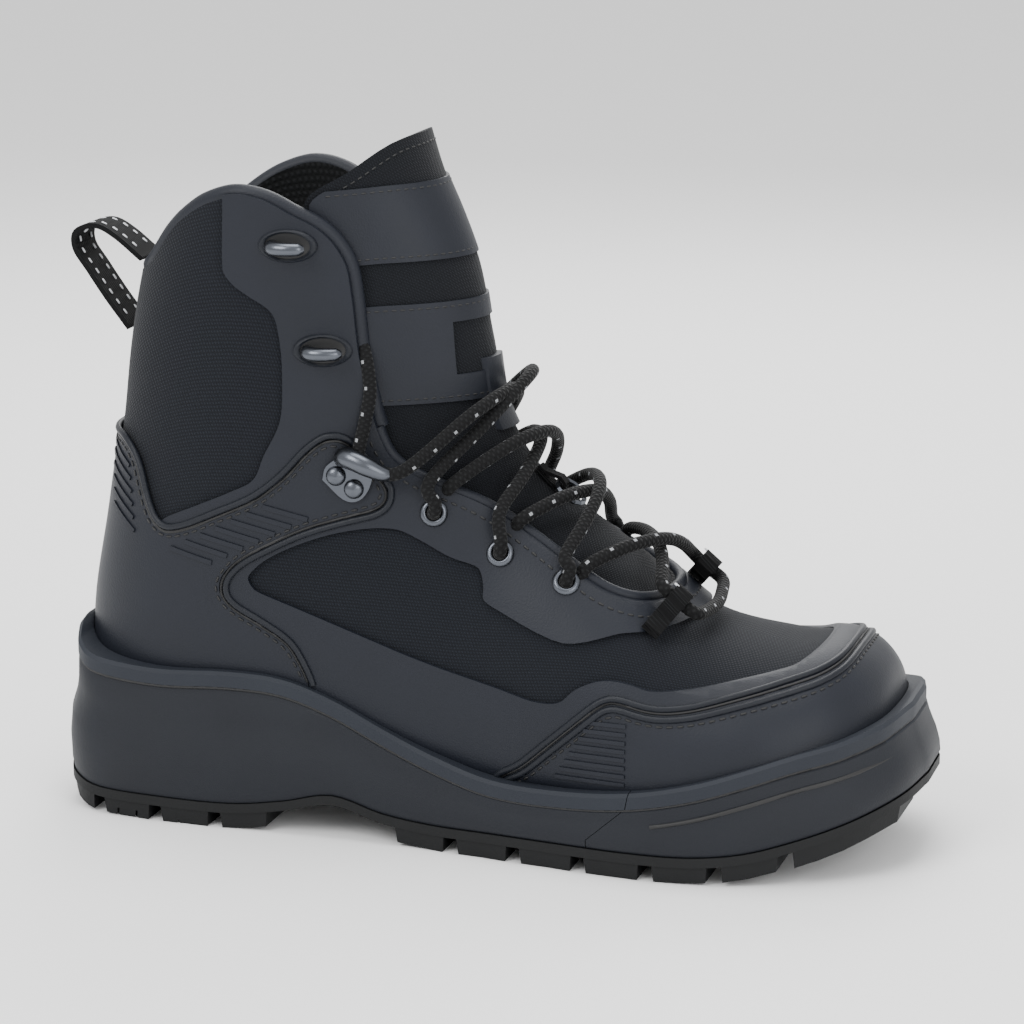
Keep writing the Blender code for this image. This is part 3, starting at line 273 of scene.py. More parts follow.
def section_ring(row, quarter):
    """One closed section as points, from the low point by the outer side and the top to the inner side."""
    low_x, low_z, top_x, top_z, outer, inner, ridge, belly, low_round, top_round = row
    middle = (outer + inner) / 2
    height = math.hypot(top_x - low_x, top_z - low_z)
    turn = np.linspace(0, math.pi / 2, 61)
    low_across = np.sin(turn) ** (2 / low_round)
    low_up = 1 - np.cos(turn) ** (2 / low_round)
    top_across = np.cos(turn) ** (2 / top_round)
    top_up = np.sin(turn) ** (2 / top_round)
    quarters = [
        (middle + (outer - middle) * low_across, belly * low_up),
        (ridge + (outer - ridge) * top_across, belly + (1 - belly) * top_up),
        (ridge + (inner - ridge) * top_across[::-1], belly + (1 - belly) * top_up[::-1]),
        (middle + (inner - middle) * low_across[::-1], belly * low_up[::-1]),
    ]
    points = []
    for across, up in quarters:
        run = np.concatenate([[0], np.cumsum(np.hypot(np.diff(across), np.diff(up * height)))])
        places = np.arange(quarter) / quarter * run[-1]
        side, share = np.interp(places, run, across), np.interp(places, run, up)
        points += [(low_x + (top_x - low_x) * s, y, low_z + (top_z - low_z) * s) for y, s in zip(side, share)]
    return points


def form_rings(offset, quarter=QUARTER, places=STATIONS):
    """Rings of the foot's form, moved outward by offset: a number, or a function of the section's place."""
    rings = np.array([section_ring(row, quarter) for row in spline(section_rows(), places)])
    along = np.gradient(rings, axis=0)
    round_ring = np.roll(rings, -1, axis=1) - np.roll(rings, 1, axis=1)
    normals = np.cross(round_ring, along)
    normals /= np.linalg.norm(normals, axis=2, keepdims=True)
    amount = np.array([offset(p) if callable(offset) else offset for p in places])
    return rings + normals * amount[:, None, None]


def side_view(outline, steps=5):
    """An outline's shares turned into lengths, as (x, z) points, with its short runs made smooth curves."""
    rows = [Vector((x * LENGTH, z * COLLAR_HEIGHT)) for x, z in outline]
    count = len(rows)
    slopes = []
    for i, here in enumerate(rows):
        before, after = here - rows[i - 1], rows[(i + 1) % count] - here
        slopes.append((before.normalized() + after.normalized()) * 0.5 * min(before.length, after.length))
    points = []
    for i, here in enumerate(rows):
        onward = rows[(i + 1) % count]
        points.append(tuple(here))
        if (onward - here).length > 30 or count < 7:
            continue
        for t in np.arange(1, steps) / steps:
            points.append(tuple(here * (2 * t ** 3 - 3 * t ** 2 + 1) + slopes[i] * (t ** 3 - 2 * t ** 2 + t)
                                + onward * (3 * t ** 2 - 2 * t ** 3)
                                + slopes[(i + 1) % count] * (t ** 3 - t ** 2)))
    return points


def grown(outline, distance):
    """The outline with each point moved outward, so that its neighbour keeps a gap."""
    points = [Vector(point) for point in outline]
    area = sum(a.x * b.y - b.x * a.y for a, b in zip(points, points[1:] + points[:1]))
    turn = 1 if area > 0 else -1
    moved = []
    for before, here, after in zip(points[-1:] + points[:-1], points, points[1:] + points[:1]):
        first, second = (here - before).normalized(), (after - here).normalized()
        out = Vector((first.y + second.y, -first.x - second.x)).normalized() * turn
        share = max(0.4, out.dot(Vector((first.y, -first.x)) * turn))
        moved.append(tuple(here + out * distance / share))
    return moved


def wall_at(place):
    """The upper's wall: thin on the foot, padded round the ankle and collar."""
    share = min(1.0, max(0.0, (place - PAD_START) / (PAD_END - PAD_START)))
    return VAMP_WALL + (COLLAR_WALL - VAMP_WALL) * share * share * (3 - 2 * share)


def add_mesh(name, points, faces):
    """A mesh object from points and faces, its faces turned outward."""
    mesh = bpy.data.meshes.new(name)
    mesh.from_pydata([tuple(p) for p in points], [], faces)
    mesh.validate()
    made = bpy.data.objects.new(name, mesh)
    bpy.context.scene.collection.objects.link(made)
    bpy.context.view_layer.update()
    turn_outward(made)
    return made


def turn_outward(made):
    """Turns a closed mesh inside out where its volume is negative."""
    volume = 0.0
    mesh = made.data
    for face in mesh.polygons:
        corners = [mesh.vertices[i].co for i in face.vertices]
        for second, third in zip(corners[1:], corners[2:]):
            volume += corners[0].dot(second.cross(third))
    if volume < 0:
        mesh.flip_normals()


def add_loft(name, rings):
    """A closed solid through rings that all have the same number of points. Its triangles fall alike at each
    offset, so that nested forms keep their gap."""
    around = len(rings[0])
    points = [p for ring in rings for p in ring]
    faces = []
    for i in range(len(rings) - 1):
        for j in range(around):
            k = (j + 1) % around
            near, far = (i * around + j, i * around + k), ((i + 1) * around + j, (i + 1) * around + k)
            faces += [(near[0], near[1], far[1]), (near[0], far[1], far[0])]
    for start in (0, (len(rings) - 1) * around):
        centre = len(points)
        points.append(sum((Vector(p) for p in points[start:start + around]), Vector()) / around)
        faces += [(start + j, start + (j + 1) % around, centre) for j in range(around)]
    return consistent(add_mesh(name, points, faces))


def select(*pieces):
    """Selects these pieces alone, the first of them active."""
    bpy.ops.object.select_all(action="DESELECT")
    for piece in pieces:
        piece.select_set(True)
    bpy.context.view_layer.objects.active = pieces[0]


def consistent(made):
    """Gives all faces the same turn, then outward."""
    select(made)
    bpy.ops.object.mode_set(mode="EDIT")
    bpy.ops.mesh.select_all(action="SELECT")
    bpy.ops.mesh.normals_make_consistent(inside=False)
    bpy.ops.object.mode_set(mode="OBJECT")
    turn_outward(made)
    return made


def add_form(name, offset, rise=0.0):
    """The foot's form as a solid. Rise lengthens it past the collar, to cut clear through another."""
    rings = form_rings(offset)
    past = rings[-1] - rings[-2]
    last = rings[-1] + past / np.linalg.norm(past, axis=1, keepdims=True) * rise
    rings = list(rings[:-1]) + [last]
    return add_loft(name, rings)


def add_extruded(name, points):
    """A solid from an outline's points, followed by the same outline's points on its far side."""
    count = len(points) // 2
    faces = [tuple(range(count)), tuple(range(2 * count - 1, count - 1, -1))]
    faces += [(i, (i + 1) % count, (i + 1) % count + count, i + count) for i in range(count)]
    return consistent(add_mesh(name, points, faces))


def add_prism(name, outline, low=-CLEAR_ACROSS, high=CLEAR_ACROSS):
    """An outline in side view, extruded across the foot."""
    return add_extruded(name, [(x, y, z) for y in (low, high) for x, z in outline])


def add_slab(name, outline, low, high):
    """An outline in plan view, from one height to another."""
    return add_extruded(name, [(x, y, z) for z in (low, high) for x, y in outline])


def combine(body, tools, operation):
    """Applies one boolean for each tool and removes the tool."""
    for tool in tools:
        change = body.modifiers.new("cut", "BOOLEAN")
        change.operation = operation
        change.solver = "EXACT"
        change.object = tool
        bpy.context.view_layer.objects.active = body
        bpy.ops.object.modifier_apply(modifier=change.name)
        remove(tool)
    return body


def remove(made):
    mesh = made.data
    bpy.data.objects.remove(made)
    bpy.data.meshes.remove(mesh)


def add_band(name, inner, outer, areas):
    """A shell between two forms, kept only inside the given side views: (outline, operation) pairs."""
    shell = add_form(name, outer)
    for outline, operation in areas:
        combine(shell, [add_prism("cutter", outline)], operation)
    combine(shell, [add_form("cutter", inner, rise=CUT_RISE)], "DIFFERENCE")
    return shell


def surface_tree(offset):
    """The form's surface at an offset, with finer facets, to find places on it."""
    made = add_loft("surface", form_rings(offset, quarter=10, places=np.arange(52) / 3))
    tree = BVHTree.FromPolygons([v.co.copy() for v in made.data.vertices],
                                [tuple(face.vertices) for face in made.data.polygons])
    remove(made)
    return tree


def place_on(tree, x, z, side, lift=0.0):
    """A frame on the form's side, with its origin on the surface, X forward along it and Z outward. Side is -1 for
    outer and 1 for inner."""
    point, normal, _, _ = tree.ray_cast(Vector((x, side * 200, z)), Vector((0, -side, 0)))
    forward = Vector((1, 0, 0))
    forward = (forward - normal * forward.dot(normal)).normalized()
    across = normal.cross(forward)
    frame = Matrix((forward, across, normal)).transposed().to_4x4()
    frame.translation = point + normal * lift
    return frame


def top_at(tree, x, y, lift=0.0):
    """The point over x, y on the form's top."""
    point, normal, _, _ = tree.ray_cast(Vector((x, y, 400)), Vector((0, 0, -1)))
    return point + normal * lift


def add_tube(name, path, radius, sides=6, radii=None, turn=0.0):
    """A tube along a list of points, with flat ends. Turn, in radians, turns its sides about the path."""
    path = [Vector(p) for p in path]
    rings = []
    up = Vector((0, 0, 1))
    for i, here in enumerate(path):
        along = (path[min(i + 1, len(path) - 1)] - path[max(i - 1, 0)]).normalized()
        if abs(along.dot(up)) > 0.95:
            up = Vector((0, 1, 0))
        side = along.cross(up).normalized()
        up = side.cross(along).normalized()
        size = radii[i] if radii else radius
        rings.append([here + (side * math.cos(a) + up * math.sin(a)) * size
                      for a in (turn + 2 * math.pi * k / sides for k in range(sides))])
    return add_loft(name, rings)


def smooth_path(points, steps):
    """The points with more between them, on a smooth curve."""
    return [tuple(p) for p in spline(points, np.arange((len(points) - 1) * steps + 1) / steps)]


def add_lathe(name, profile, segments, frame):
    """A closed ring: the (radius, height) profile turned about the frame's Z."""
    count = len(profile)
    points, faces = [], []
    for i in range(segments):
        angle = 2 * math.pi * i / segments
        for radius, height in profile:
            points.append(frame @ Vector((radius * math.cos(angle), radius * math.sin(angle), height)))
        for j in range(count):
            a, b = i * count + j, i * count + (j + 1) % count
            c, d = ((i + 1) % segments) * count + (j + 1) % count, ((i + 1) % segments) * count + j
            faces.append((a, b, c, d))
    return consistent(add_mesh(name, points, faces))


def add_plate(name, outline, low, high, frame):
    """A flat outline in the frame's XY plane, from low to high along its Z."""
    made = add_slab(name, outline, low, high)
    made.data.transform(frame)
    return consistent(made)


def ribbon(path, thickness):
    """The closed outline of a strip that follows a path, in the path's plane."""
    points = [Vector(p) for p in path]
    left, right = [], []
    for i, here in enumerate(points):
        along = (points[min(i + 1, len(points) - 1)] - points[max(i - 1, 0)]).normalized()
        out = Vector((-along.y, along.x)) * thickness / 2
        left.append(tuple(here + out))
        right.append(tuple(here - out))
    return left + right[::-1]


def sole_rows():
    rows = []
    for x, outer, inner, lift, wall in SOLE:
        rows.append([x * LENGTH, outer * SOLE_WIDTH, inner * SOLE_WIDTH, lift * TOE_SPRING,
                     wall * WALL_HEIGHT])
    return spline(rows, SOLE_PLACES)


def sole_ring(rows, outward, height):
    """One ring round the sole. Outward and height are functions of the row, outward also of the edge's normal."""
    pairs = [(row[0], row[1], row) for row in rows] + [(row[0], row[2], row) for row in rows[::-1]]
    ring = []
    for i, (x, y, row) in enumerate(pairs):
        before, after = pairs[i - 1], pairs[(i + 1) % len(pairs)]
        along = Vector((after[0] - before[0], after[1] - before[1])).normalized()
        out = Vector((along.y, -along.x))
        shift = outward(row, out)
        ring.append((x + out.x * shift, y + out.y * shift, height(row)))
    return ring


def add_sole_block(name, rings):
    """A solid from rings round the sole. Its top and bottom are strips between the two sides."""
    around = len(rings[0])
    half = around // 2
    points = [p for ring in rings for p in ring]
    faces = []
    for i in range(len(rings) - 1):
        for j in range(around):
            k = (j + 1) % around
            faces.append((i * around + j, i * around + k, (i + 1) * around + k, (i + 1) * around + j))
    for start in (0, (len(rings) - 1) * around):
        for j in range(half - 1):
            faces.append((start + j, start + j + 1, start + around - 2 - j, start + around - 1 - j))
    return consistent(add_mesh(name, points, faces))


def lean(out):
    """How far the wall's top stands in at the back and the toe."""
    return BACK_LEAN * out.x ** 2 if out.x < 0 else TOE_LEAN * out.x ** 2


def tread_top(row):
    return row[3] + LUG_HEIGHT + TREAD_THICKNESS


def make_side_wall():
    """The cup that holds the upper: its side wall with a step at the heel, and the welt along its top."""
    rows = sole_rows()
    rings = []
    for share, at_heel, at_front in WALL_LEVELS:
        def outward(row, out, share=share, at_heel=at_heel, at_front=at_front):
            front = min(1.0, max(0.0, (row[0] / LENGTH - 0.30) / 0.15))
            return at_heel + (at_front - at_heel) * front - lean(out) * share ** 1.5

        def height(row, share=share):
            low = tread_top(row) + GAP
            return low + (row[4] - WELT_HEIGHT - low) * share
        rings.append(sole_ring(rows, outward, height))
    rings.append(sole_ring(rows, lambda row, out: WELT_OUT - lean(out), lambda row: row[4] - WELT_HEIGHT))
    rings.append(sole_ring(rows, lambda row, out: WELT_OUT - lean(out), lambda row: row[4] - WELT_ROUND))
    rings.append(sole_ring(rows, lambda row, out: WELT_OUT - WELT_ROUND - lean(out), lambda row: row[4]))
    block = add_sole_block("midsole", rings)
    combine(block, [add_form("cutter", CUP_CLEARANCE)], "DIFFERENCE")
    bumper = block.copy()
    bumper.data = block.data.copy()
    bumper.name = "toe_bumper"
    bpy.context.scene.collection.objects.link(bumper)
    seam = side_view(BUMPER_SEAM)
    front = seam + [(LENGTH * 1.2, seam[-1][1]), (LENGTH * 1.2, seam[0][1])]
    combine(block, [add_prism("cutter", front)], "DIFFERENCE")
    shifted = [(x + GAP, z) for x, z in seam] + front[-2:]
    combine(bumper, [add_prism("cutter", shifted)], "INTERSECT")
    return block, bumper


def lift_at(x):
    rows = sole_rows()
    return float(np.interp(x, rows[:, 0], rows[:, 3]))


def edge_at(x, side):
    rows = sole_rows()
    return float(np.interp(x, rows[:, 0], rows[:, 1] if side < 0 else rows[:, 2]))


def add_lug(outline, root):
    """One lug: its foot on the tread's curve, tapered, and its root inside the tread."""
    centre = sum((Vector(p) for p in outline), Vector((0, 0))) / len(outline)
    points = []
    for x, y in outline:
        inward = (centre - Vector((x, y))).normalized() * LUG_TAPER
        points.append((x + inward.x, y + inward.y, lift_at(x)))
    for x, y in outline:
        points.append((x, y, lift_at(x) + root))
    return add_extruded("lug", points)


def make_outsole():
    """The tread: a thin base that follows the sole's outline, with lugs under it."""
    rows = sole_rows()
    tread = add_sole_block("outsole", [
        sole_ring(rows, lambda row, out: 0.0, lambda row: row[3] + LUG_HEIGHT),
        sole_ring(rows, lambda row, out: 0.0, tread_top),
    ])
    root = LUG_HEIGHT + TREAD_THICKNESS / 2
    lugs = []
    for start, end, reach in EDGE_LUGS:
        for side in (-1, 1):
            xs = np.linspace(start, end, 5 if reach > 0.9 else 3) * LENGTH
            edge = [(x, edge_at(x, side) - side * 0.4) for x in xs]
            middles = [(edge_at(x, -1) + edge_at(x, 1)) / 2 for x in xs]
            inner = [(x, middle + (y - middle) * (1 - reach)) for (x, y), middle in zip(edge, middles)]
            lugs.append(add_lug(edge + [inner[-1], inner[0]], root))
    for x, y in MIDDLE_LUGS:
        cx, cy = x * LENGTH, y * SOLE_WIDTH
        along, across = MIDDLE_LUG_LENGTH / 2, MIDDLE_LUG_WIDTH / 2
        outline = [(cx - along, cy - across * 0.45), (cx - along * 0.45, cy - across),
                   (cx + along * 0.55, cy - across), (cx + along, cy + across * 0.45),
                   (cx + along * 0.45, cy + across), (cx - along * 0.55, cy + across)]
        lugs.append(add_lug(outline, root))
    return combine(tread, lugs, "UNION")


def add_feather_opening():
    """A tool that opens the upper underneath, inside a lip as wide as the feather."""
    rings = []
    for row in spline(section_rows(), STATIONS):
        low_x, low_z, top_x, _, outer, inner = row[:6]
        if low_z > 0.17 * COLLAR_HEIGHT or top_x < low_x:
            continue
        if not 0.06 * LENGTH < low_x < 0.94 * LENGTH:
            continue
        low, high = low_z - 12.0, low_z + VAMP_WALL + 2.5
        left, right = outer + FEATHER_WIDTH, inner - FEATHER_WIDTH
        rings.append([(low_x, left, low), (low_x, right, low), (low_x, right, high), (low_x, left, high)])
    return add_loft("feather", rings)


def make_upper():
    upper = add_form("upper", 0.0)
    combine(upper, [add_prism("cutter", side_view(OPENING))], "DIFFERENCE")
    combine(upper, [add_form("cutter", lambda place: -wall_at(place), rise=CUT_RISE)], "DIFFERENCE")
    return combine(upper, [add_feather_opening()], "DIFFERENCE")


def below_welt(depth):
    """Side view of all that lies more than this depth under the welt's top."""
    line = [(row[0], row[4] - depth) for row in sole_rows()[::2]]
    back, front, under = -40.0, LENGTH + 40.0, -20.0
    return [(back, line[0][1])] + line + [(front, line[-1][1]), (front, under), (back, under)]


def make_overlays():
    inner, outer = GAP, GAP + OVERLAY_THICKNESS
    hidden = (below_welt(9.0), "DIFFERENCE")
    opening = (side_view(OPENING), "DIFFERENCE")
    counter, cap = side_view(COUNTER), side_view(TOE_CAP)
    side = add_band("side_overlay", inner, outer, [
        (side_view(SIDE_OVERLAY), "INTERSECT"), (side_view(WINDOW), "DIFFERENCE"), opening, hidden,
        (grown(counter, GAP), "DIFFERENCE"), (grown(cap, GAP), "DIFFERENCE")])
    heel = add_band("heel_counter", inner, outer, [(counter, "INTERSECT"), hidden])
    toe = add_band("toe_cap", inner, outer, [(cap, "INTERSECT"), hidden])
    return side, heel, toe


def make_tongue():
    def outer(place):
        return -wall_at(place) - GAP

    def inner(place):
        return outer(place) - TONGUE_THICKNESS
    return add_band("tongue", inner, outer, [(side_view(TONGUE), "INTERSECT")])


# Finishes

def colour(code):
    """An sRGB hex code as linear red, green, blue and full alpha."""
    parts = [int(code[i:i + 2], 16) / 255 for i in (1, 3, 5)]
    return (*[p / 12.92 if p <= 0.04045 else ((p + 0.055) / 1.055) ** 2.4 for p in parts], 1.0)


def add_node(material, kind, links=None, **settings):
    """A node with its settings. Links gives a value or another node's socket for each input."""
    made = material.node_tree.nodes.new("ShaderNode" + kind)
    for key, value in settings.items():
        setattr(made, key, value)
    for key, value in (links or {}).items():
        if isinstance(value, bpy.types.NodeSocket):
            material.node_tree.links.new(value, made.inputs[key])
        else:
            made.inputs[key].default_value = value
    return made


def maths(material, operation, *values):
    """The result of one sum on numbers or sockets."""
    return add_node(material, "Math", dict(enumerate(values)), operation=operation).outputs[0]


def finish_of(name, code, roughness, **shader):
    """A material with its base colour and its shader's own values. Returns it with its shader."""
    made = bpy.data.materials.new(name)
    made.use_nodes = True
    surface = made.node_tree.nodes["Principled BSDF"]
    surface.inputs["Base Color"].default_value = colour(code)
    surface.inputs["Roughness"].default_value = roughness
    for key, value in shader.items():
        surface.inputs[key.replace("_", " ")].default_value = value
    return made, surface


def mix_colours(material, surface, factor, low, high):
    """The base colour runs from low to high with the factor."""
    mixed = add_node(material, "Mix", {0: factor, 6: colour(low), 7: colour(high)}, data_type="RGBA")
    material.node_tree.links.new(mixed.outputs[2], surface.inputs["Base Color"])


def add_bump(material, surface, height, depth, strength=1.0):
    """Relief of a depth in millimetres."""
    bump = add_node(material, "Bump", {"Height": height, "Distance": depth * MM, "Strength": strength})
    material.node_tree.links.new(bump.outputs[0], surface.inputs["Normal"])


def noise(material, place, size, detail=2.0):
    """Noise whose lumps are about size millimetres."""
    links = {"Vector": place, "Scale": 1 / (size * MM), "Detail": detail}
    return add_node(material, "TexNoise", links).outputs[0]


def object_place(material):
    return add_node(material, "TexCoord").outputs["Object"]


def wave(material, value, spacing):
    """A sine of the value, from 0 to 1, with its crests spacing millimetres apart."""
    turned = maths(material, "SINE", maths(material, "MULTIPLY", value, 2 * math.pi / (spacing * MM)))
    return maths(material, "MULTIPLY_ADD", turned, 0.5, 0.5)


def woven_textile(name, code, light, spacing=1.15, depth=0.22):
    """Woven polyamide cloth, drawn with threads about twice as coarse as real, so that the weave shows."""
    made, surface = finish_of(name, code, 0.88, Sheen_Weight=0.06, Sheen_Roughness=0.5,
                              Specular_IOR_Level=0.14)
    place = object_place(made)
    parts = add_node(made, "SeparateXYZ", {0: place}).outputs
    up = maths(made, "SUBTRACT", parts[2], maths(made, "ABSOLUTE", parts[1]))
    wobble = maths(made, "MULTIPLY", noise(made, place, 5.0), 0.5 * spacing * MM)
    warp = wave(made, maths(made, "ADD", maths(made, "MULTIPLY_ADD", up, 0.35, parts[0]), wobble), spacing)
    weft = wave(made, maths(made, "ADD", up, wobble), spacing * 1.15)
    crossed = maths(made, "MULTIPLY", warp, weft)
    grain = noise(made, place, 0.9, 3.0)
    height = maths(made, "ADD", maths(made, "MULTIPLY", crossed, 0.75), maths(made, "MULTIPLY", grain, 0.35))
    mix_colours(made, surface, maths(made, "MULTIPLY", height, 0.9), code, light)
    add_bump(made, surface, height, depth)
    return made


def grained_sheet(name, code, light, roughness, grain=0.7, depth=0.06):
    """Coated microfibre or moulded rubber: matte, with a fine pebbled grain that breaks the gloss."""
    made, surface = finish_of(name, code, roughness, Specular_IOR_Level=0.24)
    place = object_place(made)
    pebbles = add_node(made, "TexVoronoi", {"Vector": place, "Scale": 1 / (grain * MM)}).outputs["Distance"]
    clouds = noise(made, place, 26.0, 3.0)
    mix_colours(made, surface, clouds, code, light)
    add_bump(made, surface, maths(made, "ADD", pebbles, maths(made, "MULTIPLY", clouds, 1.5)), depth)
    return made


def braided_cord(name, code, light, fleck):
    """Braided polyester lace with pale tracer threads that come up as pairs of flecks. Its UV map holds metres
    along it and the share round it."""
    made, surface = finish_of(name, code, 0.78, Sheen_Weight=0.05, Specular_IOR_Level=0.15)
    parts = add_node(made, "SeparateXYZ", {0: add_node(made, "TexCoord").outputs["UV"]}).outputs
    along, around = parts[0], maths(made, "MULTIPLY", parts[1], 0.01)
    left = wave(made, maths(made, "ADD", along, around), 2.0)
    right = wave(made, maths(made, "SUBTRACT", along, around), 2.0)
    braid = maths(made, "MULTIPLY", left, right)
    step = maths(made, "FRACT", maths(made, "DIVIDE", along, 9.5 * MM))
    spot = maths(made, "MULTIPLY", maths(made, "LESS_THAN", step, 0.13),
                 maths(made, "LESS_THAN", maths(made, "FRACT", maths(made, "MULTIPLY", parts[1], 2.0)), 0.16))
    base = add_node(made, "Mix", {0: braid, 6: colour(code), 7: colour(light)}, data_type="RGBA").outputs[2]
    flecked = add_node(made, "Mix", {0: spot, 6: base, 7: colour(fleck)}, data_type="RGBA").outputs[2]
    made.node_tree.links.new(flecked, surface.inputs["Base Color"])
    add_bump(made, surface, braid, 0.35)
    return made


def ribbed_webbing(name, code, light):
    """Woven polyester tape with a rib across it at each pick."""
    made, surface = finish_of(name, code, 0.85, Specular_IOR_Level=0.15)
    parts = add_node(made, "SeparateXYZ", {0: object_place(made)}).outputs
    across = wave(made, parts[1], 1.5)
    ribs = maths(made, "MULTIPLY", across, wave(made, maths(made, "ADD", parts[2], parts[0]), 1.3))
    mix_colours(made, surface, ribs, code, light)
    add_bump(made, surface, ribs, 0.25)
    return made


def plain(name, code, roughness, **shader):
    return finish_of(name, code, roughness, **shader)[0]


TEXTILE = woven_textile("woven polyamide cloth", "#0a0b0f", "#1c2027")
TONGUE_CLOTH = woven_textile("woven polyamide tongue cloth", "#090a0d", "#191c21", 1.0)
LINING = woven_textile("spacer mesh lining", "#070808", "#18191b", 2.2, 0.5)
SHEET = grained_sheet("coated microfibre", "#12151c", "#171a22", 0.5)
PIPING = grained_sheet("coated microfibre piping", "#101319", "#14171e", 0.46)
WALL_RUBBER = grained_sheet("moulded rubber wall", "#12141a", "#171a20", 0.56, 0.55)
WELT_RUBBER = grained_sheet("moulded rubber welt", "#1b1e25", "#20242b", 0.6, 0.5)
TREAD_RUBBER = grained_sheet("moulded tread rubber", "#0c0d0e", "#121314", 0.66, 0.8)
LACE = braided_cord("braided polyester lace", "#060607", "#161718", "#85878a")
TAPE = ribbed_webbing("woven polyester tape", "#070708", "#151617")
GUNMETAL = plain("gunmetal-plated steel", "#55585e", 0.3, Metallic=1.0)
# Black thread for stitches and seams, also used for painted shade: the welt's groove, a crease on the toe's wall,
# the eyelets' holes and the hook cups' hollows.
BLACK_THREAD_AND_SHADE = plain("bonded polyester thread, black, and painted shade", "#0b0b0c", 0.6)
PALE_STITCH = plain("bonded polyester thread, pale", "#c9cbce", 0.7)
FOOTBED = woven_textile("footbed cloth", "#0b0c0d", "#1b1c1f", 1.6)


# Helpers for pieces

def dress(made, name, material, stands_for=(), angle=38):
    """Finishes a piece: metres about the heel, merged, smooth but for its edges, with its material and node."""
    select(made)
    made.data.transform(Matrix.Scale(MM, 4) @ Matrix.Translation((-HEEL_REST, 0, 0)))
    bpy.ops.object.mode_set(mode="EDIT")
    bpy.ops.mesh.select_all(action="SELECT")
    bpy.ops.mesh.remove_doubles(threshold=0.01 * MM)
    bpy.ops.object.mode_set(mode="OBJECT")
    bpy.ops.object.shade_smooth_by_angle(angle=math.radians(angle))
    made.name = name
    made.data.materials.clear()
    made.data.materials.append(material)
    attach(made, "root")
    if stands_for:
        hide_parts(*stands_for)
    return made


def join(pieces):
    """Several pieces as one mesh."""
    select(*pieces)
    bpy.ops.object.join()
    return pieces[0]


def oval(long, wide, count=32):
    return [(long * math.cos(a), wide * math.sin(a)) for a in (2 * math.pi * k / count for k in range(count))]


def even(path, step):
    """The path's points spaced evenly, about step apart."""
    points = np.array([tuple(p) for p in path])
    run = np.concatenate([[0], np.cumsum(np.linalg.norm(np.diff(points, axis=0), axis=1))])
    places = np.linspace(0, run[-1], max(2, int(run[-1] / step)))
    return [Vector([np.interp(place, run, points[:, k]) for k in range(3)]) for place in places]


def cord_tube(name, path, radius, sides=12):
    """A tube with its length, in metres, and its turn in its UV map."""
    points = [Vector(p) for p in path]
    made = add_tube(name, points, radius, sides=sides)
    run = np.concatenate([[0], np.cumsum([(b - a).length for a, b in zip(points, points[1:])])])
    layer = made.data.uv_layers.new(name="along")
    last = len(points) * sides
    for face in made.data.polygons:
        cells = [(index // sides, index % sides) if index < last
                 else ((0 if index == last else len(points) - 1), 0) for index in face.vertices]
        wrap = max(c[1] for c in cells) - min(c[1] for c in cells) > sides / 2
        for loop, (ring, around) in zip(face.loop_indices, cells):
            turn = around + (sides if wrap and around < sides / 2 else 0)
            layer.data[loop].uv = (run[ring] * MM, turn / sides)
    return made


# Lines on the form

def distance_to(outline, points):
    """How far each (x, z) point lies outside the outline; inside it is negative."""
    start = np.array(outline, float)
    end = np.roll(start, -1, axis=0)
    best = np.full(len(points), 1e9)
    inside = np.zeros(len(points), bool)
    for a, b in zip(start, end):
        along = b - a
        share = np.clip(((points - a) @ along) / max(along @ along, 1e-9), 0, 1)
        best = np.minimum(best, np.linalg.norm(points - a - share[:, None] * along, axis=1))
        over = (a[1] > points[:, 1]) != (b[1] > points[:, 1])
        if over.any():
            at = a[0] + (points[:, 1] - a[1]) / (b[1] - a[1] if b[1] != a[1] else 1e-9) * along[0]
            inside ^= over & (points[:, 0] < at)
    return np.where(inside, -best, best)


def contours(offset, outline, shift=0.0, keep=None):
    """Lines on the form, at an offset, that run shift outside a side view's outline. Keep tests a point."""
    rings = form_rings(offset)
    rows, around = rings.shape[:2]
    flat = rings.reshape(-1, 3)
    value = distance_to(outline, flat[:, [0, 2]]) - shift
    links, spots = {}, {}
    index = np.arange(rows * around).reshape(rows, around)
    near, far = index[:-1], index[1:]
    turned = np.roll(near, -1, axis=1), np.roll(far, -1, axis=1)
    corners = np.concatenate([np.stack([near, turned[0], turned[1]], -1).reshape(-1, 3),
                              np.stack([near, turned[1], far], -1).reshape(-1, 3)])
    signs = value[corners] > 0
    for triangle in corners[signs.any(1) & ~signs.all(1)]:
        keys = []
        for a, b in ((0, 1), (1, 2), (2, 0)):
            i, j = sorted((int(triangle[a]), int(triangle[b])))
            if (value[i] > 0) != (value[j] > 0):
                spots[(i, j)] = flat[i] + (flat[j] - flat[i]) * value[i] / (value[i] - value[j])
                keys.append((i, j))
        if len(keys) == 2:
            links.setdefault(keys[0], []).append(keys[1])
            links.setdefault(keys[1], []).append(keys[0])
    wanted = {key for key in links if keep is None or keep(spots[key])}
    lines = []
    while wanted:
        ends = [key for key in wanted if sum(k in wanted for k in links[key]) < 2]
        here = min(ends) if ends else min(wanted)
        line = [here]
        wanted.discard(here)
        while True:
            onward = [k for k in links[here] if k in wanted]
            if not onward:
                break
            here = onward[0]
            wanted.discard(here)
            line.append(here)
        if len(line) > 6:
            points = np.array([spots[key] for key in line])
            for _ in range(3):
                points[1:-1] = (points[:-2] + 2 * points[1:-1] + points[2:]) / 4
            lines.append([Vector(p) for p in points])
    return lines


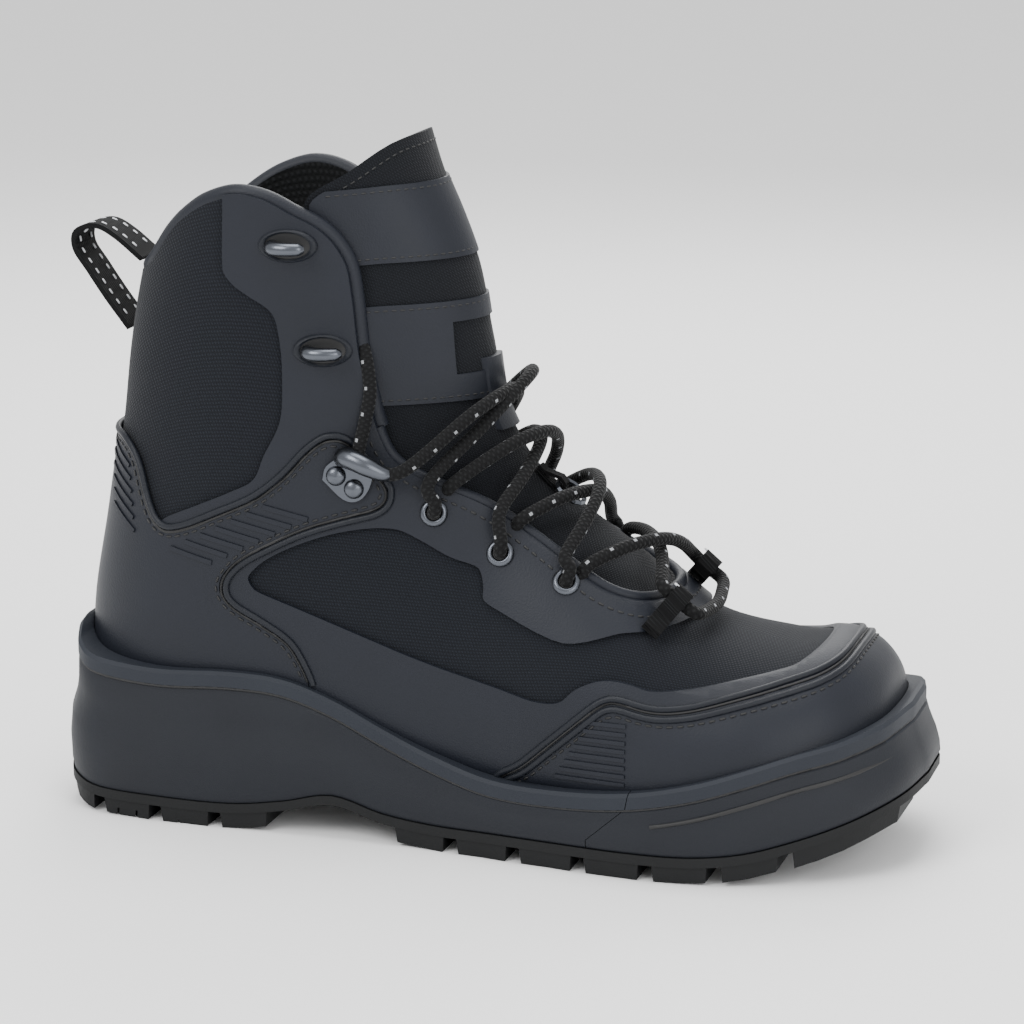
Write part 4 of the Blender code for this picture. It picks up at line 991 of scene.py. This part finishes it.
def add_stitches(path, length=2.3, space=1.4, radius=0.42):
    """A dashed line of thread along a path as one mesh, each stitch a small rounded bar."""
    spots = even(path, length + space)
    points, faces = [], []
    for a, b in zip(spots, spots[1:]):
        along = (b - a).normalized()
        side = along.cross(Vector((0.31, 0.2, 0.93))).normalized()
        up = side.cross(along)
        first = len(points)
        for share, size in ((0.0, 0.45), (0.15, 1.0), (0.85, 1.0), (1.0, 0.45)):
            middle = a + along * length * share
            points += [middle + (side * math.cos(t) + up * math.sin(t)) * radius * size
                       for t in (2 * math.pi * k / 6 for k in range(6))]
        for ring in range(3):
            for k in range(6):
                i, j = first + ring * 6 + k, first + ring * 6 + (k + 1) % 6
                faces.append((i, j, j + 6, i + 6))
        faces += [tuple(first + k for k in range(6))[::-1], tuple(first + 18 + k for k in range(6))]
    return consistent(add_mesh("stitches", points, faces))


def above_welt(margin=0.0):
    rows = sole_rows()
    return lambda p: p[2] > np.interp(p[0], rows[:, 0], rows[:, 4]) + margin


# The upper and what is sewn on it

SHEET_TOP = GAP + OVERLAY_THICKNESS
# Length, space and radius
FINE_STITCH = (1.8, 1.2, 0.32)
# The tongue's sewn panels: from height to height, how far they stand up, and how far they reach to each side
TONGUE_PANELS = ((209, 236, 0.9, 60), (158, 194, 0.9, 60), (146, 172, 2.0, 8))
WINDOWED_PANEL = 158


def dress_upper():
    upper = make_upper()
    skin = surface_tree(0.0)
    upper = dress(upper, "upper_cloth", TEXTILE, ["upper"], angle=50)
    upper.data.materials.append(LINING)
    back = Vector((HEEL_REST, 0, 0))
    for face in upper.data.polygons:
        spot, _, _, away = skin.find_nearest(face.center / MM + back)
        if away > LINING_DEPTH:
            face.material_index = 1
    rolls = []
    for line in contours(-COLLAR_WALL / 2 + 0.2, side_view(OPENING), keep=lambda p: p[2] > THROAT_TOP):
        rolls.append(add_tube("roll", even(line, 2.0), COLLAR_WALL / 2 + 0.15, sides=14))
    for line in contours(-VAMP_WALL / 2 + 0.7, side_view(OPENING), keep=lambda p: p[2] <= THROAT_TOP + 1):
        rolls.append(add_tube("roll", even(line, 2.0), VAMP_WALL / 2 + 0.9, sides=12))
    dress(join(rolls), "collar_roll", SHEET, angle=60)


def bars(outlines):
    """Several outlines in side view as one cutter."""
    return join([add_prism("bars", outline) for outline in outlines])


def slanted(x, z, dx, dz, wide):
    long = math.hypot(dx, dz)
    ox, oz = -dz / long * wide / 2, dx / long * wide / 2
    return [(x + ox, z + oz), (x + dx + ox, z + dz + oz), (x + dx - ox, z + dz - oz), (x - ox, z - oz)]


def embossed(name, outlines, rise):
    shell = add_form(name, SHEET_TOP + rise)
    combine(shell, [bars(outlines)], "INTERSECT")
    return combine(shell, [add_form("cutter", SHEET_TOP - 0.3, rise=CUT_RISE)], "DIFFERENCE")


def dress_overlays():
    side, heel, toe = make_overlays()
    dress(side, "side_overlay_sheet", SHEET, ["side_overlay"], angle=50)
    dress(heel, "heel_counter_sheet", SHEET, ["heel_counter"], angle=50)
    dress(toe, "toe_cap_sheet", SHEET, ["toe_cap"], angle=50)
    counter, cap, welt = side_view(COUNTER), side_view(TOE_CAP), above_welt(-1.0)
    piping, seams, threads = [], [], []
    for outline, shifts in ((counter, (1.9,)), (cap, (1.5, -1.9))):
        for shift in shifts:
            for line in contours(SHEET_TOP + 0.1, outline, shift, welt):
                piping.append(add_tube("piping", even(line, 1.6), 1.25, sides=10))
        for line in contours(SHEET_TOP + 0.05, outline, 0.1, welt):
            seams.append(add_tube("seam", even(line, 1.6), 0.55, sides=6))
        for line in contours(SHEET_TOP + 0.1, outline, -1.6 if outline is counter else -4.2, welt):
            threads.append(add_stitches(line))
    for line in contours(SHEET_TOP + 0.05, side_view(OPENING), 3.6, lambda p: p[2] < THROAT_TOP):
        threads.append(add_stitches(line))
    dress(join(piping), "edge_piping", PIPING, angle=60)
    dress(join(seams), "edge_seams", BLACK_THREAD_AND_SHADE, angle=60)
    dress(join(threads), "overlay_stitches", BLACK_THREAD_AND_SHADE, angle=60)
    counter_bars = [slanted(50 + 6.05 * k, 103 + 3.0 * k, 16.4, -4.0, 1.7) for k in range(7)]
    counter_bars += [slanted(17 + 0.7 * k, 137 - 4.6 * k, 12.5, -7.5, 1.5) for k in range(6)]
    cap_bars = [slanted(196.5 + 0.6 * (z - 31), z, 224 - 196.5 - 0.6 * (z - 31), 0.0, 1.4)
                for z in range(33, 56, 3)]
    dress(embossed("bars", counter_bars, 0.55), "counter_bars", SHEET, angle=40)
    dress(embossed("ribs", cap_bars, 0.6), "cap_ribs", SHEET, angle=40)


def dress_tongue():
    tongue = make_tongue()
    dress(tongue, "tongue_cloth", TONGUE_CLOTH, ["tongue"], angle=50)

    def face(place):
        return -wall_at(place) - GAP

    inside = grown(side_view(TONGUE), -2.0)
    panels, threads = [], []
    window = add_prism("window", [(90, 166), (200, 170), (200, 189), (90, 185)], -17.0, 17.0)
    for low, high, lift, reach in TONGUE_PANELS:
        band = [(90, low - 3), (128, low), (160, low + 1), (200, low + 2), (200, high + 2), (160, high + 1),
                (128, high), (90, high - 3)]
        shell = add_form("panel", lambda place: face(place) + lift)
        combine(shell, [add_prism("cutter", band, -reach, reach)], "INTERSECT")
        combine(shell, [add_prism("cutter", inside)], "INTERSECT")
        if low == WINDOWED_PANEL:
            combine(shell, [window], "DIFFERENCE")
        combine(shell, [add_form("cutter", lambda place: face(place) - 0.3, rise=14.0)], "DIFFERENCE")
        panels.append(shell)
        if reach < 20:
            continue
        for line in contours(lambda place: face(place) + lift, band, -1.8,
                             lambda p: distance_to(inside, np.array([[p[0], p[2]]]))[0] < -1.0):
            threads.append(add_stitches(line, *FINE_STITCH))
    for line in contours(lambda place: face(place) + 0.1, side_view(TONGUE), -4.0, lambda p: p[2] > 130):
        threads.append(add_stitches(line, *FINE_STITCH))
    dress(join(panels), "tongue_panels", SHEET, angle=50)
    dress(join(threads), "tongue_stitches", BLACK_THREAD_AND_SHADE, angle=60)


# The sole

def dress_sole():
    wall, bumper = make_side_wall()
    rows = sole_rows()
    for made, node in ((wall, "midsole"), (bumper, "toe_bumper")):
        made = dress(made, f"{node}_rubber", WALL_RUBBER, [node], angle=32)
        made.data.materials.append(WELT_RUBBER)
        for face in made.data.polygons:
            x, z = face.center.x / MM + HEEL_REST, face.center.z / MM
            if z > np.interp(x, rows[:, 0], rows[:, 4]) - WELT_HEIGHT - 0.05:
                face.material_index = 1
    # A black tube laid in the groove under the welt is painted shade of the groove; the stitches along the same
    # line are real thread.
    groove = sole_ring(rows, lambda row, out: -1.0 - lean(out), lambda row: row[4] - WELT_HEIGHT - 0.5)
    groove = [Vector(p) for p in groove]
    line = groove + [groove[0]]
    seam = add_tube("seam", even(line, 2.0), 0.7, sides=6)
    # A black tube along the toe's wall, 7 mm under the welt, is painted shade of a crease.
    painted_crease_line = [Vector(p) for p in sole_ring(rows, lambda row, out: -0.15 - lean(out) * 0.75,
                                           lambda row: row[4] - WELT_HEIGHT - 7.0) if p[0] > 0.72 * LENGTH]
    painted_crease_line = sorted(painted_crease_line, key=lambda p: math.atan2(p.y, p.x - 0.72 * LENGTH + 30))
    crease_shade_tube = add_tube("painted_crease_line", even(painted_crease_line, 2.0), 0.8, sides=6)
    threads = add_stitches([p + Vector((0, 0, 0.15)) for p in line], 3.0, 1.8, 0.75)
    dress(join([seam, crease_shade_tube, threads]), "welt_stitches_and_painted_shade", BLACK_THREAD_AND_SHADE, angle=60)


def edge_cutters():
    """Thin slits and half-round notches, by turns, along the tread's edge."""
    rows = sole_rows()
    ring = [Vector(p) for p in sole_ring(rows, lambda row, out: 0.0, lambda row: row[3])]
    spots = even(ring, EDGE_CUT_SPACING)
    cutters = []
    for k, here in enumerate(spots[:-1]):
        along = (spots[k + 1] - here).normalized()
        out = Vector((along.y, -along.x, 0)).normalized()
        frame = Matrix((along, out, Vector((0, 0, 1)))).transposed().to_4x4()
        frame.translation = here
        if k % 2:
            cutter = add_prism("notch", oval(*NOTCH, 14), -NOTCH_DEPTH, NOTCH_DEPTH)
        else:
            cutter = add_prism("slit", SLIT, -SLIT_DEPTH, SLIT_DEPTH)
        cutter.data.transform(frame)
        cutters.append(cutter)
    return join(cutters)


def lug_cutters():
    """Zigzag cuts in every other lug, and a round recess in the rest."""
    places = []
    for x, y in MIDDLE_LUGS:
        places.append((x * LENGTH, y * SOLE_WIDTH, 8.0))
    for start, end, reach in EDGE_LUGS[1:-1]:
        x = (start + end) / 2 * LENGTH
        for side in (-1, 1):
            places.append((x, edge_at(x, side) * (1 - reach / 2) if abs(edge_at(x, side)) > 5 else 0.0, 9.0))
    cutters = []
    for k, (x, y, half) in enumerate(places):
        level = lift_at(x)
        if k % 2:
            for shift in (-ZIGZAG_APART, ZIGZAG_APART):
                zigzag = [(x + shift + ZIGZAG_SWING * (-1) ** n, y - half + 2 * half * n / 8) for n in range(9)]
                wide = [(a + ZIGZAG_HALF, b) for a, b in zigzag]
                wide += [(a - ZIGZAG_HALF, b) for a, b in zigzag[::-1]]
                cutters.append(add_slab("zigzag", wide, level - 1.0, level + ZIGZAG_DEPTH))
        else:
            disc = [(x + dx, y + dy) for dx, dy in oval(RECESS_RADIUS, RECESS_RADIUS, 24)]
            cutters.append(add_slab("recess", disc, level - 1.0, level + RECESS_DEPTH))
    return join(cutters)


def dress_tread():
    tread = make_outsole()
    combine(tread, [edge_cutters()], "DIFFERENCE")
    combine(tread, [lug_cutters()], "DIFFERENCE")
    dress(tread, "tread", TREAD_RUBBER, ["outsole"], angle=30)


# Metal

# Profiles turned about a place on the side: radius and height
EYELET_PROFILE = ((EYELET_HOLE, 0.2), (EYELET_RADIUS, 0.0), (EYELET_RADIUS - 0.25, 0.55),
                  (EYELET_RADIUS - 1.0, 1.15), (EYELET_HOLE + 0.9, 1.2), (EYELET_HOLE + 0.2, 0.8))
RIVET_PROFILE = ((0.05, 0.0), (3.6, 0.0), (3.5, 0.7), (2.9, 1.5), (1.8, 2.1), (0.05, 2.4))
CUP_PROFILE = ((4.6, -0.4), (6.1, -0.4), (5.9, 0.4), (5.3, 0.9), (4.7, 0.5))
CUP_STRETCH = 1.75
# The lock hook's plate, its rivets and its horn, and the speed hook's bar, from the hook's own place
PLATE_OUTLINE = ((-10.5, -2.5), (-9.0, 2.5), (-2.5, 6.5), (4.0, 6.8), (7.4, 2.0), (6.4, -5.0), (2.6, -9.8),
                 (-3.0, -9.6))
RIVETS = ((-5.6, -1.0), (0.8, -5.6))
HORN = ((-3.0, 5.4, 0.6), (-2.0, 6.2, 3.4), (1.0, 6.0, 6.2), (6.0, 4.0, 7.8), (11.5, 1.4, 7.2),
        (16.0, 0.4, 5.0))
HOOK_BAR = ((-5.5, 0, 0.2), (-5.2, 0, 3.0), (-3.0, 0, 5.2), (1.2, 0, 6.0), (5.0, 0, 5.4), (6.6, 0, 4.6))


def tapered_tube(name, path, shares, radii, sides):
    """A tube whose radius runs through these values at these shares of its points."""
    sizes = list(np.interp(np.linspace(0, 1, len(path)), shares, radii))
    return add_tube(name, path, sizes[0], sides=sides, radii=sizes)


def spot_on(skin, x, z, side, lift):
    """The frame at shares of the length and the collar's height."""
    return place_on(skin, x * LENGTH, z * COLLAR_HEIGHT, side, lift)


def dress_metal():
    skin = surface_tree(SHEET_TOP)
    rings, hole_shades, cups = [], [], []
    stands = []
    for side, word in ((-1, "outer"), (1, "inner")):
        for number, (x, z) in enumerate(EYELETS, start=1):
            here = spot_on(skin, x, z, side, 0.35)
            rings.append(add_lathe("ring", EYELET_PROFILE, 32, here))
            # A black disc under each eyelet's ring is painted shade in its hole.
            hole_shades.append(add_plate("painted_hole_shade", oval(3.2, 3.2, 20), -0.2, 0.35, here))
            stands.append(f"eyelet_{word}_{number}")
        here = spot_on(skin, *LOCK_HOOK, side, 0.5)
        flip = -side
        plate = smooth_path([*PLATE_OUTLINE, PLATE_OUTLINE[0]], 4)[:-1]
        rings.append(add_plate("plate", [(x, y * flip) for x, y, *_ in plate], 0.0, HOOK_PLATE, here))
        horn = smooth_path([tuple(here @ Vector((x, y * flip, z))) for x, y, z in HORN], 5)
        rings.append(tapered_tube("horn", horn, [0, 0.3, 0.6, 0.85, 1], [3.6, 3.9, 3.6, 2.6, 1.4], 18))
        for x, y in RIVETS:
            spot = here @ Matrix.Translation((x, y * flip, HOOK_PLATE))
            rings.append(add_lathe("rivet", RIVET_PROFILE, 24, spot))
        stands.append(f"lock_hook_{word}")
        for number, (x, z) in enumerate(SPEED_HOOKS, start=1):
            here = spot_on(skin, x, z, side, 0.2)
            wide = here @ Matrix.Diagonal((CUP_STRETCH, 1, 1, 1))
            cups.append(add_lathe("cup", CUP_PROFILE, 40, wide))
            # A black oval inside each cup is painted shade in its hollow.
            hole_shades.append(add_plate("floor", oval(8.6, 4.9, 32), -0.3, 0.15, here))
            bar = smooth_path([tuple(here @ Vector(p)) for p in HOOK_BAR], 4)
            rings.append(tapered_tube("hook", bar, [0, 0.3, 0.8, 1], [2.3, 2.6, 2.3, 1.4], 16))
            stands.append(f"speed_hook_{word}_{number}")
    dress(join(rings), "hooks_and_eyelets", GUNMETAL, stands, angle=42)
    dress(join(cups), "hook_cups", PIPING, angle=50)
    # The black discs and ovals are painted shade in the eyelets' holes and the cups' hollows.
    dress(join(hole_shades), "painted_hole_and_cup_shade", BLACK_THREAD_AND_SHADE, angle=50)


# The lace

def throat_height(x):
    edge = [p for p in OPENING if 0.39 < p[0] < 0.71]
    return float(np.interp(x / LENGTH, [p[0] for p in edge], [p[1] for p in edge])) * COLLAR_HEIGHT


def lace_route(skin, first):
    """One half of the lace, from the middle of the front bar through the eyelets from below, and up to the locking
    hook."""
    side = first
    bar = [top_at(skin, KEEPER[0] * LENGTH + 16.5, 0.0, LACE_RADIUS + 1.6)]
    bar.append(top_at(skin, KEEPER[0] * LENGTH + 15.0, side * 12.0, LACE_RADIUS + 2.6))
    for forward in (11.0, 4.0, -1.5):
        bar.append(top_at(skin, KEEPER[0] * LENGTH + forward, side * KEEPER[1] * BALL_WIDTH,
                          LACE_RADIUS + 4.4))
    route, start = bar, bar[-1]
    for x, z in (*EYELETS, (None, None)):
        side = -side
        out = Vector((0.7, 0.0, 0.714))
        if x is not None:
            ex, ez = x * LENGTH, z * COLLAR_HEIGHT
            over = place_on(skin, ex + 6.0, throat_height(ex + 6.0) + 3.0, side, 1.2).translation
            under = [place_on(skin, ex + 4.0, throat_height(ex + 4.0) - 1.5, side, -3.0).translation,
                     place_on(skin, ex + 0.5, ez + 1.0, side, -3.4).translation,
                     place_on(skin, ex, ez, side, 0.5).translation]
            rise_up = [place_on(skin, ex + 0.5, ez + 3.0, side, 3.6).translation]
            leave = place_on(skin, ex - 2.0, throat_height(ex - 2.0), side, 4.4).translation
        else:
            hook = spot_on(skin, *LOCK_HOOK, side, 1.3)
            over = hook @ Vector((20.0, 3.0 * -side, LACE_RADIUS + 3.0))
            under = [hook @ Vector((10.0, 1.6 * -side, LACE_RADIUS + 1.6)),
                     hook @ Vector((3.0, 6.0 * -side, LACE_RADIUS + 1.2))]
            rise_up = [spot_on(skin, a, b, side, lift).translation
                       for a, b, lift in ((0.382, 0.655, 2.6), (0.388, 0.700, 1.0), (0.385, 0.745, -1.5))]
            leave = spot_on(skin, 0.378, 0.785, side, -5.0).translation
        middle = (start + over) / 2
        ridge = skin.ray_cast(middle + out * 100, -out)[0]
        rise = max(0.0, (ridge - middle).dot(out) + LACE_RADIUS) + (1.4 if first < 0 else 6.6)
        for share, blend in ((0.2, 0.55), (0.4, 0.92), (0.6, 1.0), (0.82, 0.72)):
            route.append(start.lerp(over, share) + out * rise * blend)
        route += [over, *under, *rise_up, leave]
        start = leave
    return route


def dress_lace():
    skin = surface_tree(SHEET_TOP)
    outer, inner = lace_route(skin, -1), lace_route(skin, 1)
    whole = outer[::-1] + inner[1:]
    path = even(smooth_path([tuple(p) for p in whole], 6), 1.3)
    lace = cord_tube("lace", path, LACE_RADIUS, sides=14)
    dress(lace, "lace", LACE, ["lace_crossings", "lace_end_outer", "lace_end_inner"], angle=60)


def dress_tapes():
    skin = surface_tree(SHEET_TOP)
    path = [(0.0705, 0.755), (0.045, 0.800), (0.022, 0.845), (0.006, 0.878), (0.008, 0.905), (0.032, 0.915),
            (0.056, 0.900), (0.0875, 0.866)]
    flat = [(p[0], p[1]) for p in smooth_path([(x * LENGTH, z * COLLAR_HEIGHT, 0.0) for x, z in path], 5)]
    loop = add_prism("loop", ribbon(flat, LOOP_THICKNESS), -LOOP_WIDTH / 2, LOOP_WIDTH / 2)
    dress(loop, "pull_loop_tape", TAPE, ["pull_loop"], angle=40)
    pale = []
    for lift in (-1, 1):
        edge = ribbon(flat, LOOP_THICKNESS + 0.25)
        run = edge[:len(flat)] if lift < 0 else edge[len(flat):]
        for y in (-5.0, 5.0):
            pale.append(add_stitches([Vector((x, y, z)) for x, z in run[1:-1]], 2.2, 1.9, 0.4))
    for side in (-1, 1):
        start, end = (top_at(skin, KEEPER[0] * LENGTH + forward, side * KEEPER[1] * BALL_WIDTH,
                             LACE_RADIUS * 2 + 6.4) for forward in (0.5, 8.5))
        pale.append(add_stitches([start, start.lerp(end, 0.5), end], 2.2, 1.0, 0.45))
    dress(join(pale), "pale_stitches", PALE_STITCH, angle=60)


def keep_solids():
    """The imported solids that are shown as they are, with the right finish."""
    for node, material in (("insole", FOOTBED), ("lace_keeper_outer", TAPE), ("lace_keeper_inner", TAPE),
                           ("ring_tab", TAPE), ("tongue_ring", GUNMETAL)):
        shown = frame["nodes"][node]
        shown.data.materials.clear()
        shown.data.materials.append(material)


# The studio

# Name, place in metres, size in metres and power in watts
LIGHTS = (
    ("key", (-0.5, -1.1, 1.1), 0.7, 15),
    ("fill", (1.1, -0.9, 0.6), 0.8, 8),
    ("rim", (0.0, 1.0, 0.9), 0.8, 10),
    ("top", (0.1, 0.0, 1.4), 0.8, 12),
)
SKY_STRENGTH = 1.25
CAMERA_TARGET = (0.117, 0, 0.115)
CAMERA_DISTANCE = 1.3
CAMERA_TURN = 16.6
CAMERA_RISE = 13.6
CAMERA_LENS = 125.9


def aim(made, target):
    made.rotation_euler = (Vector(target) - made.location).to_track_quat("-Z", "Y").to_euler()


def add_light(name, place, size, power, target=(0.1, 0, 0.1)):
    light = bpy.data.lights.new(name, "AREA")
    light.size, light.energy = size, power
    made = bpy.data.objects.new(name, light)
    made.location = place
    bpy.context.scene.collection.objects.link(made)
    aim(made, target)


def add_studio():
    bpy.ops.object.select_all(action="DESELECT")
    bpy.ops.mesh.primitive_plane_add(size=12, location=(0, 0, -0.0002))
    floor = bpy.context.object
    floor.name = "floor"
    floor.data.materials.append(plain("white paper sweep", "#f2f2f2", 0.9))
    world = bpy.context.scene.world or bpy.data.worlds.new("studio")
    bpy.context.scene.world = world
    world.use_nodes = True
    sky = world.node_tree.nodes["Background"]
    sky.inputs["Color"].default_value = (1, 1, 1, 1)
    sky.inputs["Strength"].default_value = SKY_STRENGTH
    for light in LIGHTS:
        add_light(*light)


def add_camera():
    target = Vector(CAMERA_TARGET)
    turn, rise = math.radians(CAMERA_TURN), math.radians(CAMERA_RISE)
    back = Vector((math.sin(turn) * math.cos(rise), -math.cos(turn) * math.cos(rise), math.sin(rise)))
    camera = bpy.data.objects.new("camera", bpy.data.cameras.new("camera"))
    camera.data.sensor_width, camera.data.lens = 36.0, CAMERA_LENS
    camera.location = target + back * CAMERA_DISTANCE
    bpy.context.scene.collection.objects.link(camera)
    aim(camera, target)
    bpy.context.scene.camera = camera


for step in (dress_upper, dress_overlays, dress_tongue, dress_sole, dress_tread, dress_metal, dress_lace,
             dress_tapes, keep_solids, add_studio, add_camera):
    step()
